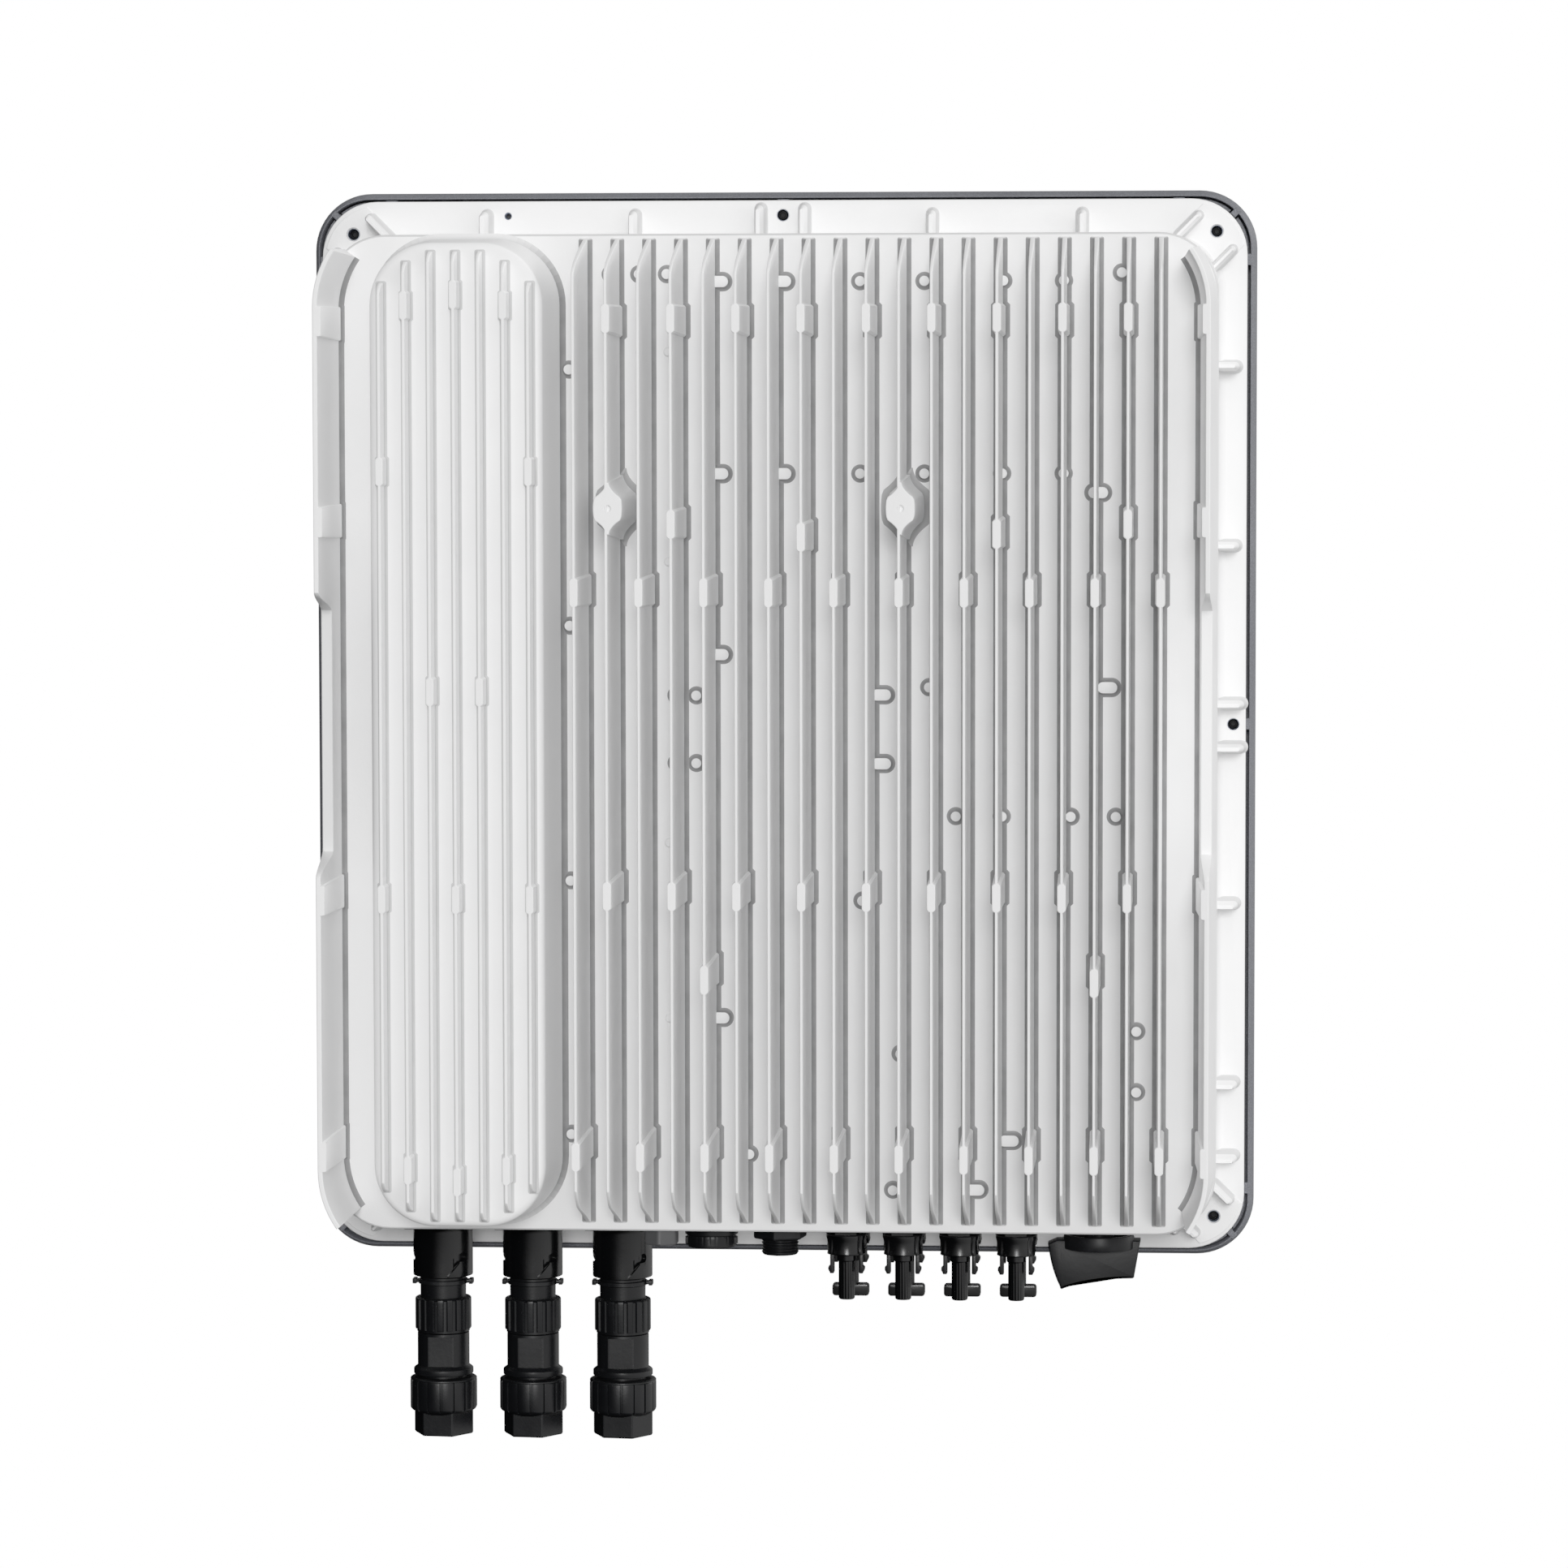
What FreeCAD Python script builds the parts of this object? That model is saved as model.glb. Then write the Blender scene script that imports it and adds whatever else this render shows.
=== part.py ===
import FreeCAD, Part
import math
import os
from FreeCAD import Vector as V

# Wall-hung three-phase hybrid string inverter, seen as an assembly.
# Millimetres. +Z is up, +Y points at the wall, -Y at the person in front.
# The origin is the midpoint between the two rear hanging bosses, on the
# plane of the fin tips. "Depth" below is the distance in front of that
# plane, so a depth d lies at Y = -d.

os.makedirs("parts", exist_ok=True)

# ---------------------------------------------------------------- sizes
BODY_X = -3.8            # centre of the housing, sideways
BODY_Z = -119.5          # centre of the housing, up and down

BOSS_SPACING = 150.0     # between the two hanging bosses
BOSS_HOLE_R = 1.65       # tapped M4
BOSS_HOLE_DEEP = 9.0

FIN_HEIGHT = 66.8        # fin tips to the cast base plate
FIN_COUNT = 19
FIN_PITCH = 300.0 / 18
FIN_FIRST_X = 92.6
FIN_ROOT = 3.5
FIN_TIP = 1.3
FIN_FILLET = 2.2
# depth, top and bottom of a fin's end profile, from its root out to its tip
FIN_ENDS = ((64.6, 138.2, -373.4), (43.0, 134.2, -367.7), (12.0, 126.1, -360.4), (0.0, 120.4, -351.2))

BASE_HALF_X = 233.2
BASE_HALF_Z = 262.0
BASE_RADIUS = 27.0
BASE_PLATE = 6.0
CASE_WALL = 4.5

FLANGE_HALF_X = 249.5
FLANGE_HALF_Z = 282.5
FLANGE_RADIUS = 30.0
FLANGE_REAR = 168.0
FLANGE_FRONT = 174.0

GASKET_FRONT = 177.0

COVER_HALF_X = 255.2
COVER_HALF_Z = 287.5
COVER_RADIUS = 31.0
COVER_REAR = 172.5
COVER_FRONT = 234.0
COVER_WALL = 3.6
COVER_LEDGE = 181.0

# the long raised pod that houses the chokes
POD_X = 154.3
POD_HALF_X = 44.8
POD_TOP_Z = 136.6
POD_BOTTOM_Z = -371.0
POD_TOP_DEPTH = 12.0
POD_CORNER_R = 31.0
POD_DRAFT = 3.4
POD_FOOT = 6.4
SMALL_FIN_PITCH = 12.8
SMALL_FIN_COUNT = 7

# connectors, all hanging below the bottom wall
BOTTOM_Z = BODY_Z - BASE_HALF_Z
AC_X = [176.6, 128.1, 79.6]
AC_DEPTH = 115.0
AC_SLEEVE_R = 16.0
PV_X = [-42.2 - 30.0 * i for i in range(4)]
PV_DEPTHS = [92.0, 132.0]
KNOB_X = -175.7
KNOB_DEPTH = 110.0
VENT_X = 55.5
VENT_DEPTH = 82.0
DATA_X = 30.0
DATA_DEPTH = 95.0
ANTENNA_X = -6.6
ANTENNA_DEPTH = 95.0

RUN_FIT = 0.05           # radial play of everything that turns or slides


# -------------------------------------------------------------- helpers
def box(x0, x1, d0, d1, z0, z1):
    return Part.makeBox(x1 - x0, d1 - d0, z1 - z0, V(x0, -d1, z0))


def cyl_z(x, d, r, z0, z1):
    return Part.makeCylinder(r, z1 - z0, V(x, -d, z0), V(0, 0, 1))


def cyl_y(x, z, r, d0, d1):
    return Part.makeCylinder(r, d1 - d0, V(x, -d1, z), V(0, 1, 0))


def ring_z(x, d, r_out, r_in, z0, z1):
    return cyl_z(x, d, r_out, z0, z1).cut(cyl_z(x, d, r_in, z0 - 1, z1 + 1))


def polygon_wire(points):
    return Part.makePolygon(points + [points[0]])


def rect_wire(x0, x1, z0, z1, d):
    return polygon_wire([V(x0, -d, z0), V(x1, -d, z0), V(x1, -d, z1), V(x0, -d, z1)])


def octagon_wire(x, z, half_x, half_z, d):
    cut_z = half_x * 1.1
    cut_x = half_x * 0.55
    pts = [
        V(x - half_x, -d, z - half_z + cut_z),
        V(x - half_x + cut_x, -d, z - half_z),
        V(x + half_x - cut_x, -d, z - half_z),
        V(x + half_x, -d, z - half_z + cut_z),
        V(x + half_x, -d, z + half_z - cut_z),
        V(x + half_x - cut_x, -d, z + half_z),
        V(x - half_x + cut_x, -d, z + half_z),
        V(x - half_x, -d, z + half_z - cut_z),
    ]
    return polygon_wire(pts)


def round_rect_wire(x, z, half_x, half_z, r, d):
    """A rounded rectangle on the plane at depth d."""
    k = r * math.sqrt(0.5)
    edges = []
    corners = [(1, 1), (-1, 1), (-1, -1), (1, -1)]
    ends = []
    for sx, sz in corners:
        cx = x + sx * (half_x - r)
        cz = z + sz * (half_z - r)
        side = V(cx + sx * r, -d, cz)
        top = V(cx, -d, cz + sz * r)
        mid = V(cx + sx * k, -d, cz + sz * k)
        if sx * sz > 0:
            ends.append((side, mid, top))
        else:
            ends.append((top, mid, side))
    for i in range(4):
        a, m, b = ends[i]
        edges.append(Part.Arc(a, m, b).toShape())
        nxt = ends[(i + 1) % 4][0]
        if (nxt - b).Length > 0.001:
            edges.append(Part.makeLine(b, nxt))
    return Part.Wire(edges)


def round_rect(x, z, half_x, half_z, r, d0, d1):
    face = Part.Face(round_rect_wire(x, z, half_x, half_z, r, d0))
    return face.extrude(V(0, d0 - d1, 0))


def loft(wires):
    return Part.makeLoft(wires, True, True)


def prism_x(x0, x1, outline):
    """Extrude a list of (depth, z) points sideways from x0 to x1."""
    face = Part.Face(polygon_wire([V(x0, -d, z) for d, z in outline]))
    return face.extrude(V(x1 - x0, 0, 0))


def prism_z(x, d, across_corners, z0, z1, sides=6, turn=0.0):
    pts = []
    for i in range(sides):
        a = math.radians(turn + i * 360.0 / sides)
        pts.append(V(x + across_corners / 2 * math.cos(a), -d + across_corners / 2 * math.sin(a), z0))
    return Part.Face(polygon_wire(pts)).extrude(V(0, 0, z1 - z0))


def fuse(shapes):
    return shapes[0].multiFuse(shapes[1:]).removeSplitter()


def group(shapes):
    return Part.makeCompound(shapes)


def save(shape, name):
    shape.exportStep("parts/" + name + ".step")
    print(name, len(shape.Solids), "solid(s)", round(shape.Volume / 1000.0, 2), "cm3", shape.isValid())


# ------------------------------------------------- screw places on flange
def cover_screw_places():
    spots = []
    for sx in (-1, 1):
        for sz in (-1, 1):
            spots.append((BODY_X + sx * 233.3, BODY_Z + sz * 266.0))
        spots.append((BODY_X + sx * 243.0, BODY_Z + 1.2))
    for sz in (-1, 1):
        spots.append((BODY_X, BODY_Z + sz * 275.5))
    return spots


SCREWS = cover_screw_places()
FLANGE_HOLE_R = 2.85     # tapped M6


# ---------------------------------------------------------- rear housing
def fin_x(i):
    return FIN_FIRST_X - FIN_PITCH * i


def main_fin(i):
    """A drafted fin: wide foot, then straight flanks up to a thin tip."""
    x = fin_x(i)
    foot = FIN_ROOT / 2 + FIN_FILLET
    top = FIN_ENDS[0][1] + FIN_FILLET
    bottom = FIN_ENDS[0][2] - FIN_FILLET
    sections = [rect_wire(x - foot, x + foot, bottom, top, FIN_HEIGHT + 0.5)]
    for depth, top, bottom in FIN_ENDS:
        half = FIN_TIP / 2 + (FIN_ROOT - FIN_TIP) / 2 * depth / FIN_ENDS[0][0]
        sections.append(rect_wire(x - half, x + half, bottom, top, depth))
    return loft(sections)


def ejector_pad(x, z, foot):
    """The drafted octagonal column where an ejector pin met the fin."""
    return loft([
        octagon_wire(x, z, 5.2, 10.4, foot),
        octagon_wire(x, z, 3.4, 8.7, FIN_ENDS[0][0]),
        octagon_wire(x, z, 2.05, 7.3, 0.0),
    ])


def main_fin_pads():
    rows = [(1, 97.0), (0, -43.0), (1, -199.0), (0, -334.0)]
    pads = []
    for first, z in rows:
        for i in range(first, FIN_COUNT, 2):
            pads.append(ejector_pad(fin_x(i), z, FIN_HEIGHT + 0.4))
    extras = [(3, -8.0), (7, -14.5), (13, -13.0), (17, -8.0), (4, -242.0), (16, -242.5)]
    for i, z in extras:
        pads.append(ejector_pad(fin_x(i), z, FIN_HEIGHT + 0.4))
    return pads


def hanging_boss(x):
    """Round column with concave shoulders that run out into the fin, tapped for the bracket."""
    def outline(half_x, half_z, thin, d):
        share = ((0.0, 1.0), (0.22, 0.96), (0.42, 0.82), (0.56, 0.6), (0.7, 0.36), (0.84, 0.14), (1.0, 0.0))
        right = [(thin + (half_x - thin) * w, half_z * t) for t, w in share]
        pts = [V(x + a, -d, b) for a, b in right]
        pts += [V(x - a, -d, b) for a, b in reversed(right)]
        pts += [V(x - a, -d, -b) for a, b in right[1:]]
        pts += [V(x + a, -d, -b) for a, b in reversed(right[1:])]
        return polygon_wire(pts)
    return loft([
        outline(13.0, 19.0, 3.4, FIN_HEIGHT + 0.4),
        outline(9.4, 16.4, 1.9, FIN_ENDS[0][0] - 2.0),
        outline(7.4, 13.2, 0.7, 0.0),
    ])


def small_fin(j):
    offset = abs(j - 3)
    drop = [0.0, 0.0, 5.3, 16.0][offset]
    x = POD_X - 1.0 - SMALL_FIN_PITCH * (j - 3)
    top = 132.5 - drop
    bottom = -368.0 + drop * 0.95
    return loft([
        rect_wire(x - 2.6, x + 2.6, bottom - 1.6, top + 1.6, POD_TOP_DEPTH + 0.3),
        rect_wire(x - 1.3, x + 1.3, bottom - 0.4, top + 0.4, POD_TOP_DEPTH - 1.2),
        rect_wire(x - 1.0, x + 1.0, bottom + 1.5, top - 1.5, 4.0),
        rect_wire(x - 0.75, x + 0.75, bottom + 5.0, top - 5.0, 0.0),
    ])


def small_fin_pads():
    spots = [(1, 104), (5, 104), (3, 109.5), (0, 19), (6, 19), (2, -94), (4, -94)]
    spots += [(0, -201), (3, -201), (6, -201), (1, -340), (5, -340), (3, -346)]
    pads = []
    for j, z in spots:
        x = POD_X - 1.0 - SMALL_FIN_PITCH * (j - 3)
        pads.append(loft([
            octagon_wire(x, z, 3.75, 8.5, POD_TOP_DEPTH + 1.2),
            octagon_wire(x, z, 1.75, 7.6, 0.0),
        ]))
    return pads


def pod_solid(grow, top_depth, foot_depth):
    """Stadium bump, its walls drafted outward to the base plate."""
    mid_z = (POD_TOP_Z + POD_BOTTOM_Z) / 2
    half_z = (POD_TOP_Z - POD_BOTTOM_Z) / 2
    top_r = POD_CORNER_R + grow
    side_x = POD_HALF_X + POD_DRAFT + grow
    side_z = half_z + POD_DRAFT + grow
    return loft([
        round_rect_wire(POD_X, mid_z, POD_HALF_X + grow, half_z + grow, top_r, top_depth),
        round_rect_wire(POD_X, mid_z, side_x, side_z, top_r + POD_DRAFT, foot_depth),
    ])


def pod_outside():
    """The pod with its top edge rounded and its foot flared into the base plate."""
    body = pod_solid(0.0, POD_TOP_DEPTH, FIN_HEIGHT + 1.0)
    rim = [e for e in body.Edges if e.BoundBox.YMin > -POD_TOP_DEPTH - 0.01]
    body = body.makeFillet(3.6, rim)
    mid_z = (POD_TOP_Z + POD_BOTTOM_Z) / 2
    half_z = (POD_TOP_Z - POD_BOTTOM_Z) / 2
    flare = loft([
        round_rect_wire(POD_X, mid_z, POD_HALF_X + POD_DRAFT - 0.3, half_z + POD_DRAFT - 0.3,
                        POD_CORNER_R + POD_DRAFT - 0.3, FIN_HEIGHT - 3.0),
        round_rect_wire(POD_X, mid_z, POD_HALF_X + POD_FOOT, half_z + POD_FOOT,
                        POD_CORNER_R + POD_FOOT, FIN_HEIGHT + 0.8),
    ])
    return [body, flare]


def side_rails():
    """The two cast side walls that close the fin field, with curved ends."""
    outer = loft([
        round_rect_wire(BODY_X, BODY_Z, 233.0, 259.5, 26.0, FIN_HEIGHT + 0.5),
        round_rect_wire(BODY_X, BODY_Z, 229.7, 254.0, 24.0, 0.0),
    ])
    inner = loft([
        round_rect_wire(BODY_X, BODY_Z, 225.0, 251.5, 18.0, FIN_HEIGHT + 1.0),
        round_rect_wire(BODY_X, BODY_Z, 227.3, 251.7, 21.5, -0.5),
    ])
    middle = box(BODY_X - 210, BODY_X + 210, -1, 80, -500, 300)
    ring = outer.cut(inner).cut(middle)
    notch = [(-1.0, -44.0), (46.0, -55.0), (46.0, -170.0), (-1.0, -190.0)]
    ring = ring.cut(prism_x(BODY_X - 260, BODY_X + 260, notch))
    pads = []
    for sx in (-1, 1):
        for z in (96.0, -7.0, -202.0, -335.0):
            x = BODY_X + sx * 225.6
            pads.append(loft([
                rect_wire(x - 3.4, x + 3.4, z - 9, z + 9, FIN_HEIGHT + 0.4),
                rect_wire(x - 1.6, x + 1.6, z - 8, z + 8, 0.0),
            ]))
    return [ring] + pads


def base_bumps():
    """Low round lands on the base plate over the screw bosses inside."""
    small_r = 4.3
    rows = {
        121.5: [79.5, 64.5, 50.0, -187.0],
        117.5: [-51.0, -84.5, -125.5, -157.0],
        17.5: [-51.0, -84.5, -125.0, -157.0],
        -94.0: [-87.0],
        -98.5: [35.0],
        -134.0: [35.0],
        -161.5: [-101.0, -125.0, -161.0, -184.5],
        -206.0: [-52.0],
        -274.0: [-195.5],
        -286.5: [-72.0],
        -306.0: [-195.5],
        -340.0: [7.5],
        -358.5: [-68.0],
    }
    lumps = []
    for z, places in rows.items():
        for x in places:
            lumps.append(cyl_y(x, z, small_r, FIN_HEIGHT - 1.8, FIN_HEIGHT + 0.5))
    pills = [(23, 117.5), (-10, 117.5), (23, 17.5), (-10, 17.5), (23, -77), (-62, -98)]
    pills += [(-62, -134), (23, -268), (-129, -332), (-111, -358), (-175, 7.5), (-180, -94)]
    for x, z in pills:
        lumps.append(round_rect(x, z, 7.4, 4.6, 4.4, FIN_HEIGHT - 1.8, FIN_HEIGHT + 0.5))
    for z in (81.0, -28.5, -176.0, -268.5):
        for x in (64.0, 49.5):
            lumps.append(cyl_y(x, z, 2.4, FIN_HEIGHT - 1.5, FIN_HEIGHT + 0.5))
    return lumps


def buttress(x, z, reach, heading, half=3.2, rise=26.0):
    """A drafted rib with a rounded end, from inside the case wall out along the flange."""
    def outline(hw, length, d):
        a = V(-4, -d, -hw)
        b = V(length - hw, -d, -hw)
        c = V(length, -d, 0)
        e = V(length - hw, -d, hw)
        f = V(-4, -d, hw)
        return Part.Wire([Part.makeLine(a, b), Part.Arc(b, c, e).toShape(), Part.makeLine(e, f), Part.makeLine(f, a)])
    rib = loft([outline(half, reach, FLANGE_REAR + 0.6), outline(half - 2.0, reach - 4.2, FLANGE_REAR - rise)])
    rib.rotate(V(0, 0, 0), V(0, 1, 0), -heading)
    rib.translate(V(x, 0, z))
    return rib


def flange_ribs():
    """Buttresses between the case walls and the flange, and a pair at each corner screw."""
    ribs = []
    case_top = BODY_Z + BASE_HALF_Z
    for x, reach in ((156.5, 14.5), (76, 14.5), (8, 20), (-15.6, 20), (-84.5, 14.5), (-165, 14.5)):
        ribs.append(buttress(x, case_top, reach, 90))
    for x in (BODY_X - 212, BODY_X + 212):
        ribs.append(buttress(x, BOTTOM_Z, 14, 270))
    for x in (158, 21, -84):
        ribs.append(buttress(x, BOTTOM_Z, 7.5, 270, 2.6))
    for z, reach in ((74, 14), (-22, 14), (-107, 15.8), (-130.5, 15.8), (-215, 14), (-312, 14), (-352, 14)):
        ribs.append(buttress(BODY_X + BASE_HALF_X, z, reach, 0))
        ribs.append(buttress(BODY_X - BASE_HALF_X, z, reach, 180))
    for sx in (-1, 1):
        for sz in (-1, 1):
            heading = math.degrees(math.atan2(sz, sx))
            u = (sx * math.sqrt(0.5), sz * math.sqrt(0.5))
            for across in (-12.9, 12.9):
                x = BODY_X + sx * 233.3 - 17 * u[0] - across * u[1]
                z = BODY_Z + sz * 266.0 - 17 * u[1] + across * u[0]
                ribs.append(buttress(x, z, 19, heading, 2.85))
    return ribs


def wall_skirt():
    """The case wall flares out where it meets the flange."""
    return loft([
        round_rect_wire(BODY_X, BODY_Z, BASE_HALF_X - 0.5, BASE_HALF_Z - 0.5, BASE_RADIUS - 0.5, FLANGE_REAR - 5),
        round_rect_wire(BODY_X, BODY_Z, BASE_HALF_X + 4.5, BASE_HALF_Z + 3.0, BASE_RADIUS + 4, FLANGE_REAR + 0.5),
    ])


def bottom_wall_holes():
    z0 = BOTTOM_Z - 1
    z1 = BOTTOM_Z + CASE_WALL + 1
    holes = [cyl_z(x, AC_DEPTH, 14.2, z0, z1) for x in AC_X]
    for d in PV_DEPTHS:
        holes += [cyl_z(x, d, 6.5, z0, z1) for x in PV_X]
    holes.append(cyl_z(KNOB_X, KNOB_DEPTH, 6.0, z0, z1))
    holes.append(cyl_z(VENT_X, VENT_DEPTH, 5.0, z0, z1))
    holes.append(cyl_z(DATA_X, DATA_DEPTH, 10.0, z0, z1))
    holes.append(cyl_z(ANTENNA_X, ANTENNA_DEPTH, 9.0, z0, z1))
    return holes


def rear_housing():
    case = round_rect(BODY_X, BODY_Z, BASE_HALF_X, BASE_HALF_Z, BASE_RADIUS, FIN_HEIGHT, FLANGE_FRONT)
    rear_edges = [e for e in case.Edges if e.BoundBox.YMin > -FIN_HEIGHT - 0.01]
    case = case.makeFillet(3.5, rear_edges)
    flange = round_rect(BODY_X, BODY_Z, FLANGE_HALF_X, FLANGE_HALF_Z, FLANGE_RADIUS, FLANGE_REAR, FLANGE_FRONT)
    add = [case, flange, wall_skirt()]
    add += pod_outside()
    add += flange_ribs()
    body = fuse(add)
    cavity = round_rect(BODY_X, BODY_Z, BASE_HALF_X - CASE_WALL, BASE_HALF_Z - CASE_WALL, BASE_RADIUS - 4,
                        FIN_HEIGHT + BASE_PLATE, FLANGE_FRONT + 1)
    pod_hollow = pod_solid(-4.5, POD_TOP_DEPTH + 5.0, FIN_HEIGHT + BASE_PLATE + 0.5)
    body = body.cut(cavity.fuse(pod_hollow))
    fins = [main_fin(i) for i in range(FIN_COUNT)]
    fins += main_fin_pads()
    fins += [hanging_boss(-BOSS_SPACING / 2), hanging_boss(BOSS_SPACING / 2)]
    fins += [small_fin(j) for j in range(SMALL_FIN_COUNT)]
    fins += small_fin_pads()
    fins += side_rails()
    fins += base_bumps()
    body = body.multiFuse(fins)
    holes = bottom_wall_holes()
    for sx in (-1, 1):
        holes.append(cyl_y(sx * BOSS_SPACING / 2, 0, BOSS_HOLE_R, -1, BOSS_HOLE_DEEP))
    for x, z in SCREWS:
        holes.append(cyl_y(x, z, FLANGE_HOLE_R, FLANGE_REAR - 2, FLANGE_FRONT + 1))
    holes.append(cyl_y(BODY_X + 149, BODY_Z + 275.5, 1.5, FLANGE_REAR - 1, FLANGE_FRONT + 1))
    for h in holes:
        body = body.cut(h)
    return body


# ----------------------------------------------------------- front cover
WINDOW_HALF_X = 54.0
WINDOW_LOW = -6.0
WINDOW_HIGH = 30.0
WINDOW_DEPTH = 231.6
SCREW_SEAT = 190.0
CAP_BACK = 229.0


def rim_stops():
    """Small blocks inside the rim that centre the cover on the flange, at its corners and sides."""
    stops = []
    for sx in (-1, 1):
        for sz in (-1, 1):
            block = Part.makeBox(4.4, 1.3, 3.4, V(COVER_RADIUS - COVER_WALL - 3.1, -COVER_REAR - 1.4, -1.7))
            block.rotate(V(0, 0, 0), V(0, 1, 0), -math.degrees(math.atan2(sz, sx)))
            x = BODY_X + sx * (COVER_HALF_X - COVER_RADIUS)
            z = BODY_Z + sz * (COVER_HALF_Z - COVER_RADIUS)
            block.translate(V(x, 0, z))
            stops.append(block)
    back = COVER_REAR + 0.1
    front = back + 1.3
    for side in (-1, 1):
        near = BODY_X + side * (FLANGE_HALF_X + 0.3)
        far = BODY_X + side * (COVER_HALF_X - COVER_WALL + 0.5)
        for z in (BODY_Z - 251.0, BODY_Z + 1.2, BODY_Z + 251.0):
            stops.append(box(min(near, far), max(near, far), back, front, z - 3.0, z + 3.0))
        near = BODY_Z + side * (FLANGE_HALF_Z + 0.3)
        far = BODY_Z + side * (COVER_HALF_Z - COVER_WALL + 0.5)
        for x in (BODY_X - 213.0, BODY_X, BODY_X + 213.0):
            stops.append(box(x - 3.0, x + 3.0, back, front, min(near, far), max(near, far)))
    return stops


def front_cover():
    shell = round_rect(BODY_X, BODY_Z, COVER_HALF_X, COVER_HALF_Z, COVER_RADIUS, COVER_REAR, COVER_FRONT)
    front_edges = [e for e in shell.Edges if e.BoundBox.YMax < -COVER_FRONT + 0.01]
    shell = shell.makeFillet(9.0, front_edges)
    hollow = round_rect(BODY_X, BODY_Z, COVER_HALF_X - COVER_WALL, COVER_HALF_Z - COVER_WALL,
                        COVER_RADIUS - COVER_WALL, COVER_REAR - 1, COVER_FRONT - 12)
    hollow_front = round_rect(BODY_X, BODY_Z, COVER_HALF_X - 13, COVER_HALF_Z - 13,
                              COVER_RADIUS - 12, COVER_FRONT - 13, COVER_FRONT - COVER_WALL)
    shell = shell.cut(hollow.fuse(hollow_front))
    ledge = round_rect(BODY_X, BODY_Z, COVER_HALF_X - 1, COVER_HALF_Z - 1, COVER_RADIUS - 1, GASKET_FRONT, COVER_LEDGE)
    ledge = ledge.cut(round_rect(BODY_X, BODY_Z, 230.0, 259.5, 20.0, GASKET_FRONT - 1, COVER_LEDGE + 1))
    parts = [shell, ledge] + rim_stops()
    for x, z in SCREWS:
        parts.append(cyl_y(x, z, 8.0, GASKET_FRONT, COVER_FRONT - 2))
    body = fuse(parts)
    for x, z in SCREWS:
        body = body.cut(cyl_y(x, z, 3.1, GASKET_FRONT - 1, SCREW_SEAT + 1))
        body = body.cut(cyl_y(x, z, 5.4, SCREW_SEAT, COVER_FRONT + 1))
    seat = box(BODY_X - WINDOW_HALF_X, BODY_X + WINDOW_HALF_X, WINDOW_DEPTH, COVER_FRONT + 1, WINDOW_LOW, WINDOW_HIGH)
    sight = box(BODY_X - WINDOW_HALF_X + 4, BODY_X + WINDOW_HALF_X - 4, COVER_FRONT - 5, COVER_FRONT,
                WINDOW_LOW + 4, WINDOW_HIGH - 4)
    return body.cut(seat).cut(sight)


def display_window():
    return box(BODY_X - WINDOW_HALF_X, BODY_X + WINDOW_HALF_X, WINDOW_DEPTH, COVER_FRONT - 0.2,
               WINDOW_LOW, WINDOW_HIGH)


def display_panel():
    back = COVER_FRONT - COVER_WALL
    board = box(BODY_X - 60, BODY_X + 60, back - 6, back, WINDOW_LOW - 6, WINDOW_HIGH + 6)
    glass = box(BODY_X - 36, BODY_X + 36, back - 1, back + 0.9, WINDOW_LOW + 6, WINDOW_HIGH - 6)
    return board.fuse(glass)


def cover_gasket():
    band = round_rect(BODY_X, BODY_Z, 250.1, 283.1, FLANGE_RADIUS + 0.6, FLANGE_FRONT, GASKET_FRONT)
    band = band.cut(round_rect(BODY_X, BODY_Z, 230.0, 259.5, 20.0, FLANGE_FRONT - 1, GASKET_FRONT + 1))
    for x, z in SCREWS:
        band = band.cut(cyl_y(x, z, 3.1, FLANGE_FRONT - 1, GASKET_FRONT + 1))
    return band


def cover_screws():
    screws = []
    for x, z in SCREWS:
        shank = cyl_y(x, z, FLANGE_HOLE_R, FLANGE_REAR + 1.6, SCREW_SEAT)
        tip_edges = [e for e in shank.Edges if e.BoundBox.YMin > -(FLANGE_REAR + 1.7)]
        shank = shank.makeChamfer(0.7, tip_edges)
        head = cyl_y(x, z, 5.0, SCREW_SEAT, SCREW_SEAT + 5.0)
        head = head.cut(prism_y(x, z, 5.0, SCREW_SEAT + 2.2, SCREW_SEAT + 6.0))
        screws.append(shank.fuse(head))
    return group(screws)


def prism_y(x, z, across_corners, d0, d1, sides=6):
    pts = []
    for i in range(sides):
        a = math.radians(i * 360.0 / sides)
        pts.append(V(x + across_corners / 2 * math.cos(a), -d0, z + across_corners / 2 * math.sin(a)))
    return Part.Face(polygon_wire(pts)).extrude(V(0, d0 - d1, 0))


def screw_caps():
    return group([cyl_y(x, z, 5.4, CAP_BACK, COVER_FRONT - 0.6) for x, z in SCREWS])


# ------------------------------------------------- chokes inside the pod
CHOKE_Z = [72.0 - 95.0 * i for i in range(5)]
POD_FLOOR = POD_TOP_DEPTH + 5.0
CHOKE_FRONT = 62.0


def choke_cores():
    cores = []
    for z in CHOKE_Z:
        core = cyl_y(POD_X, z, 32.0, POD_FLOOR + 4, CHOKE_FRONT - 4)
        cores.append(core.cut(cyl_y(POD_X, z, 18.0, POD_FLOOR + 3, CHOKE_FRONT - 3)))
    return group(cores)


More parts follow.
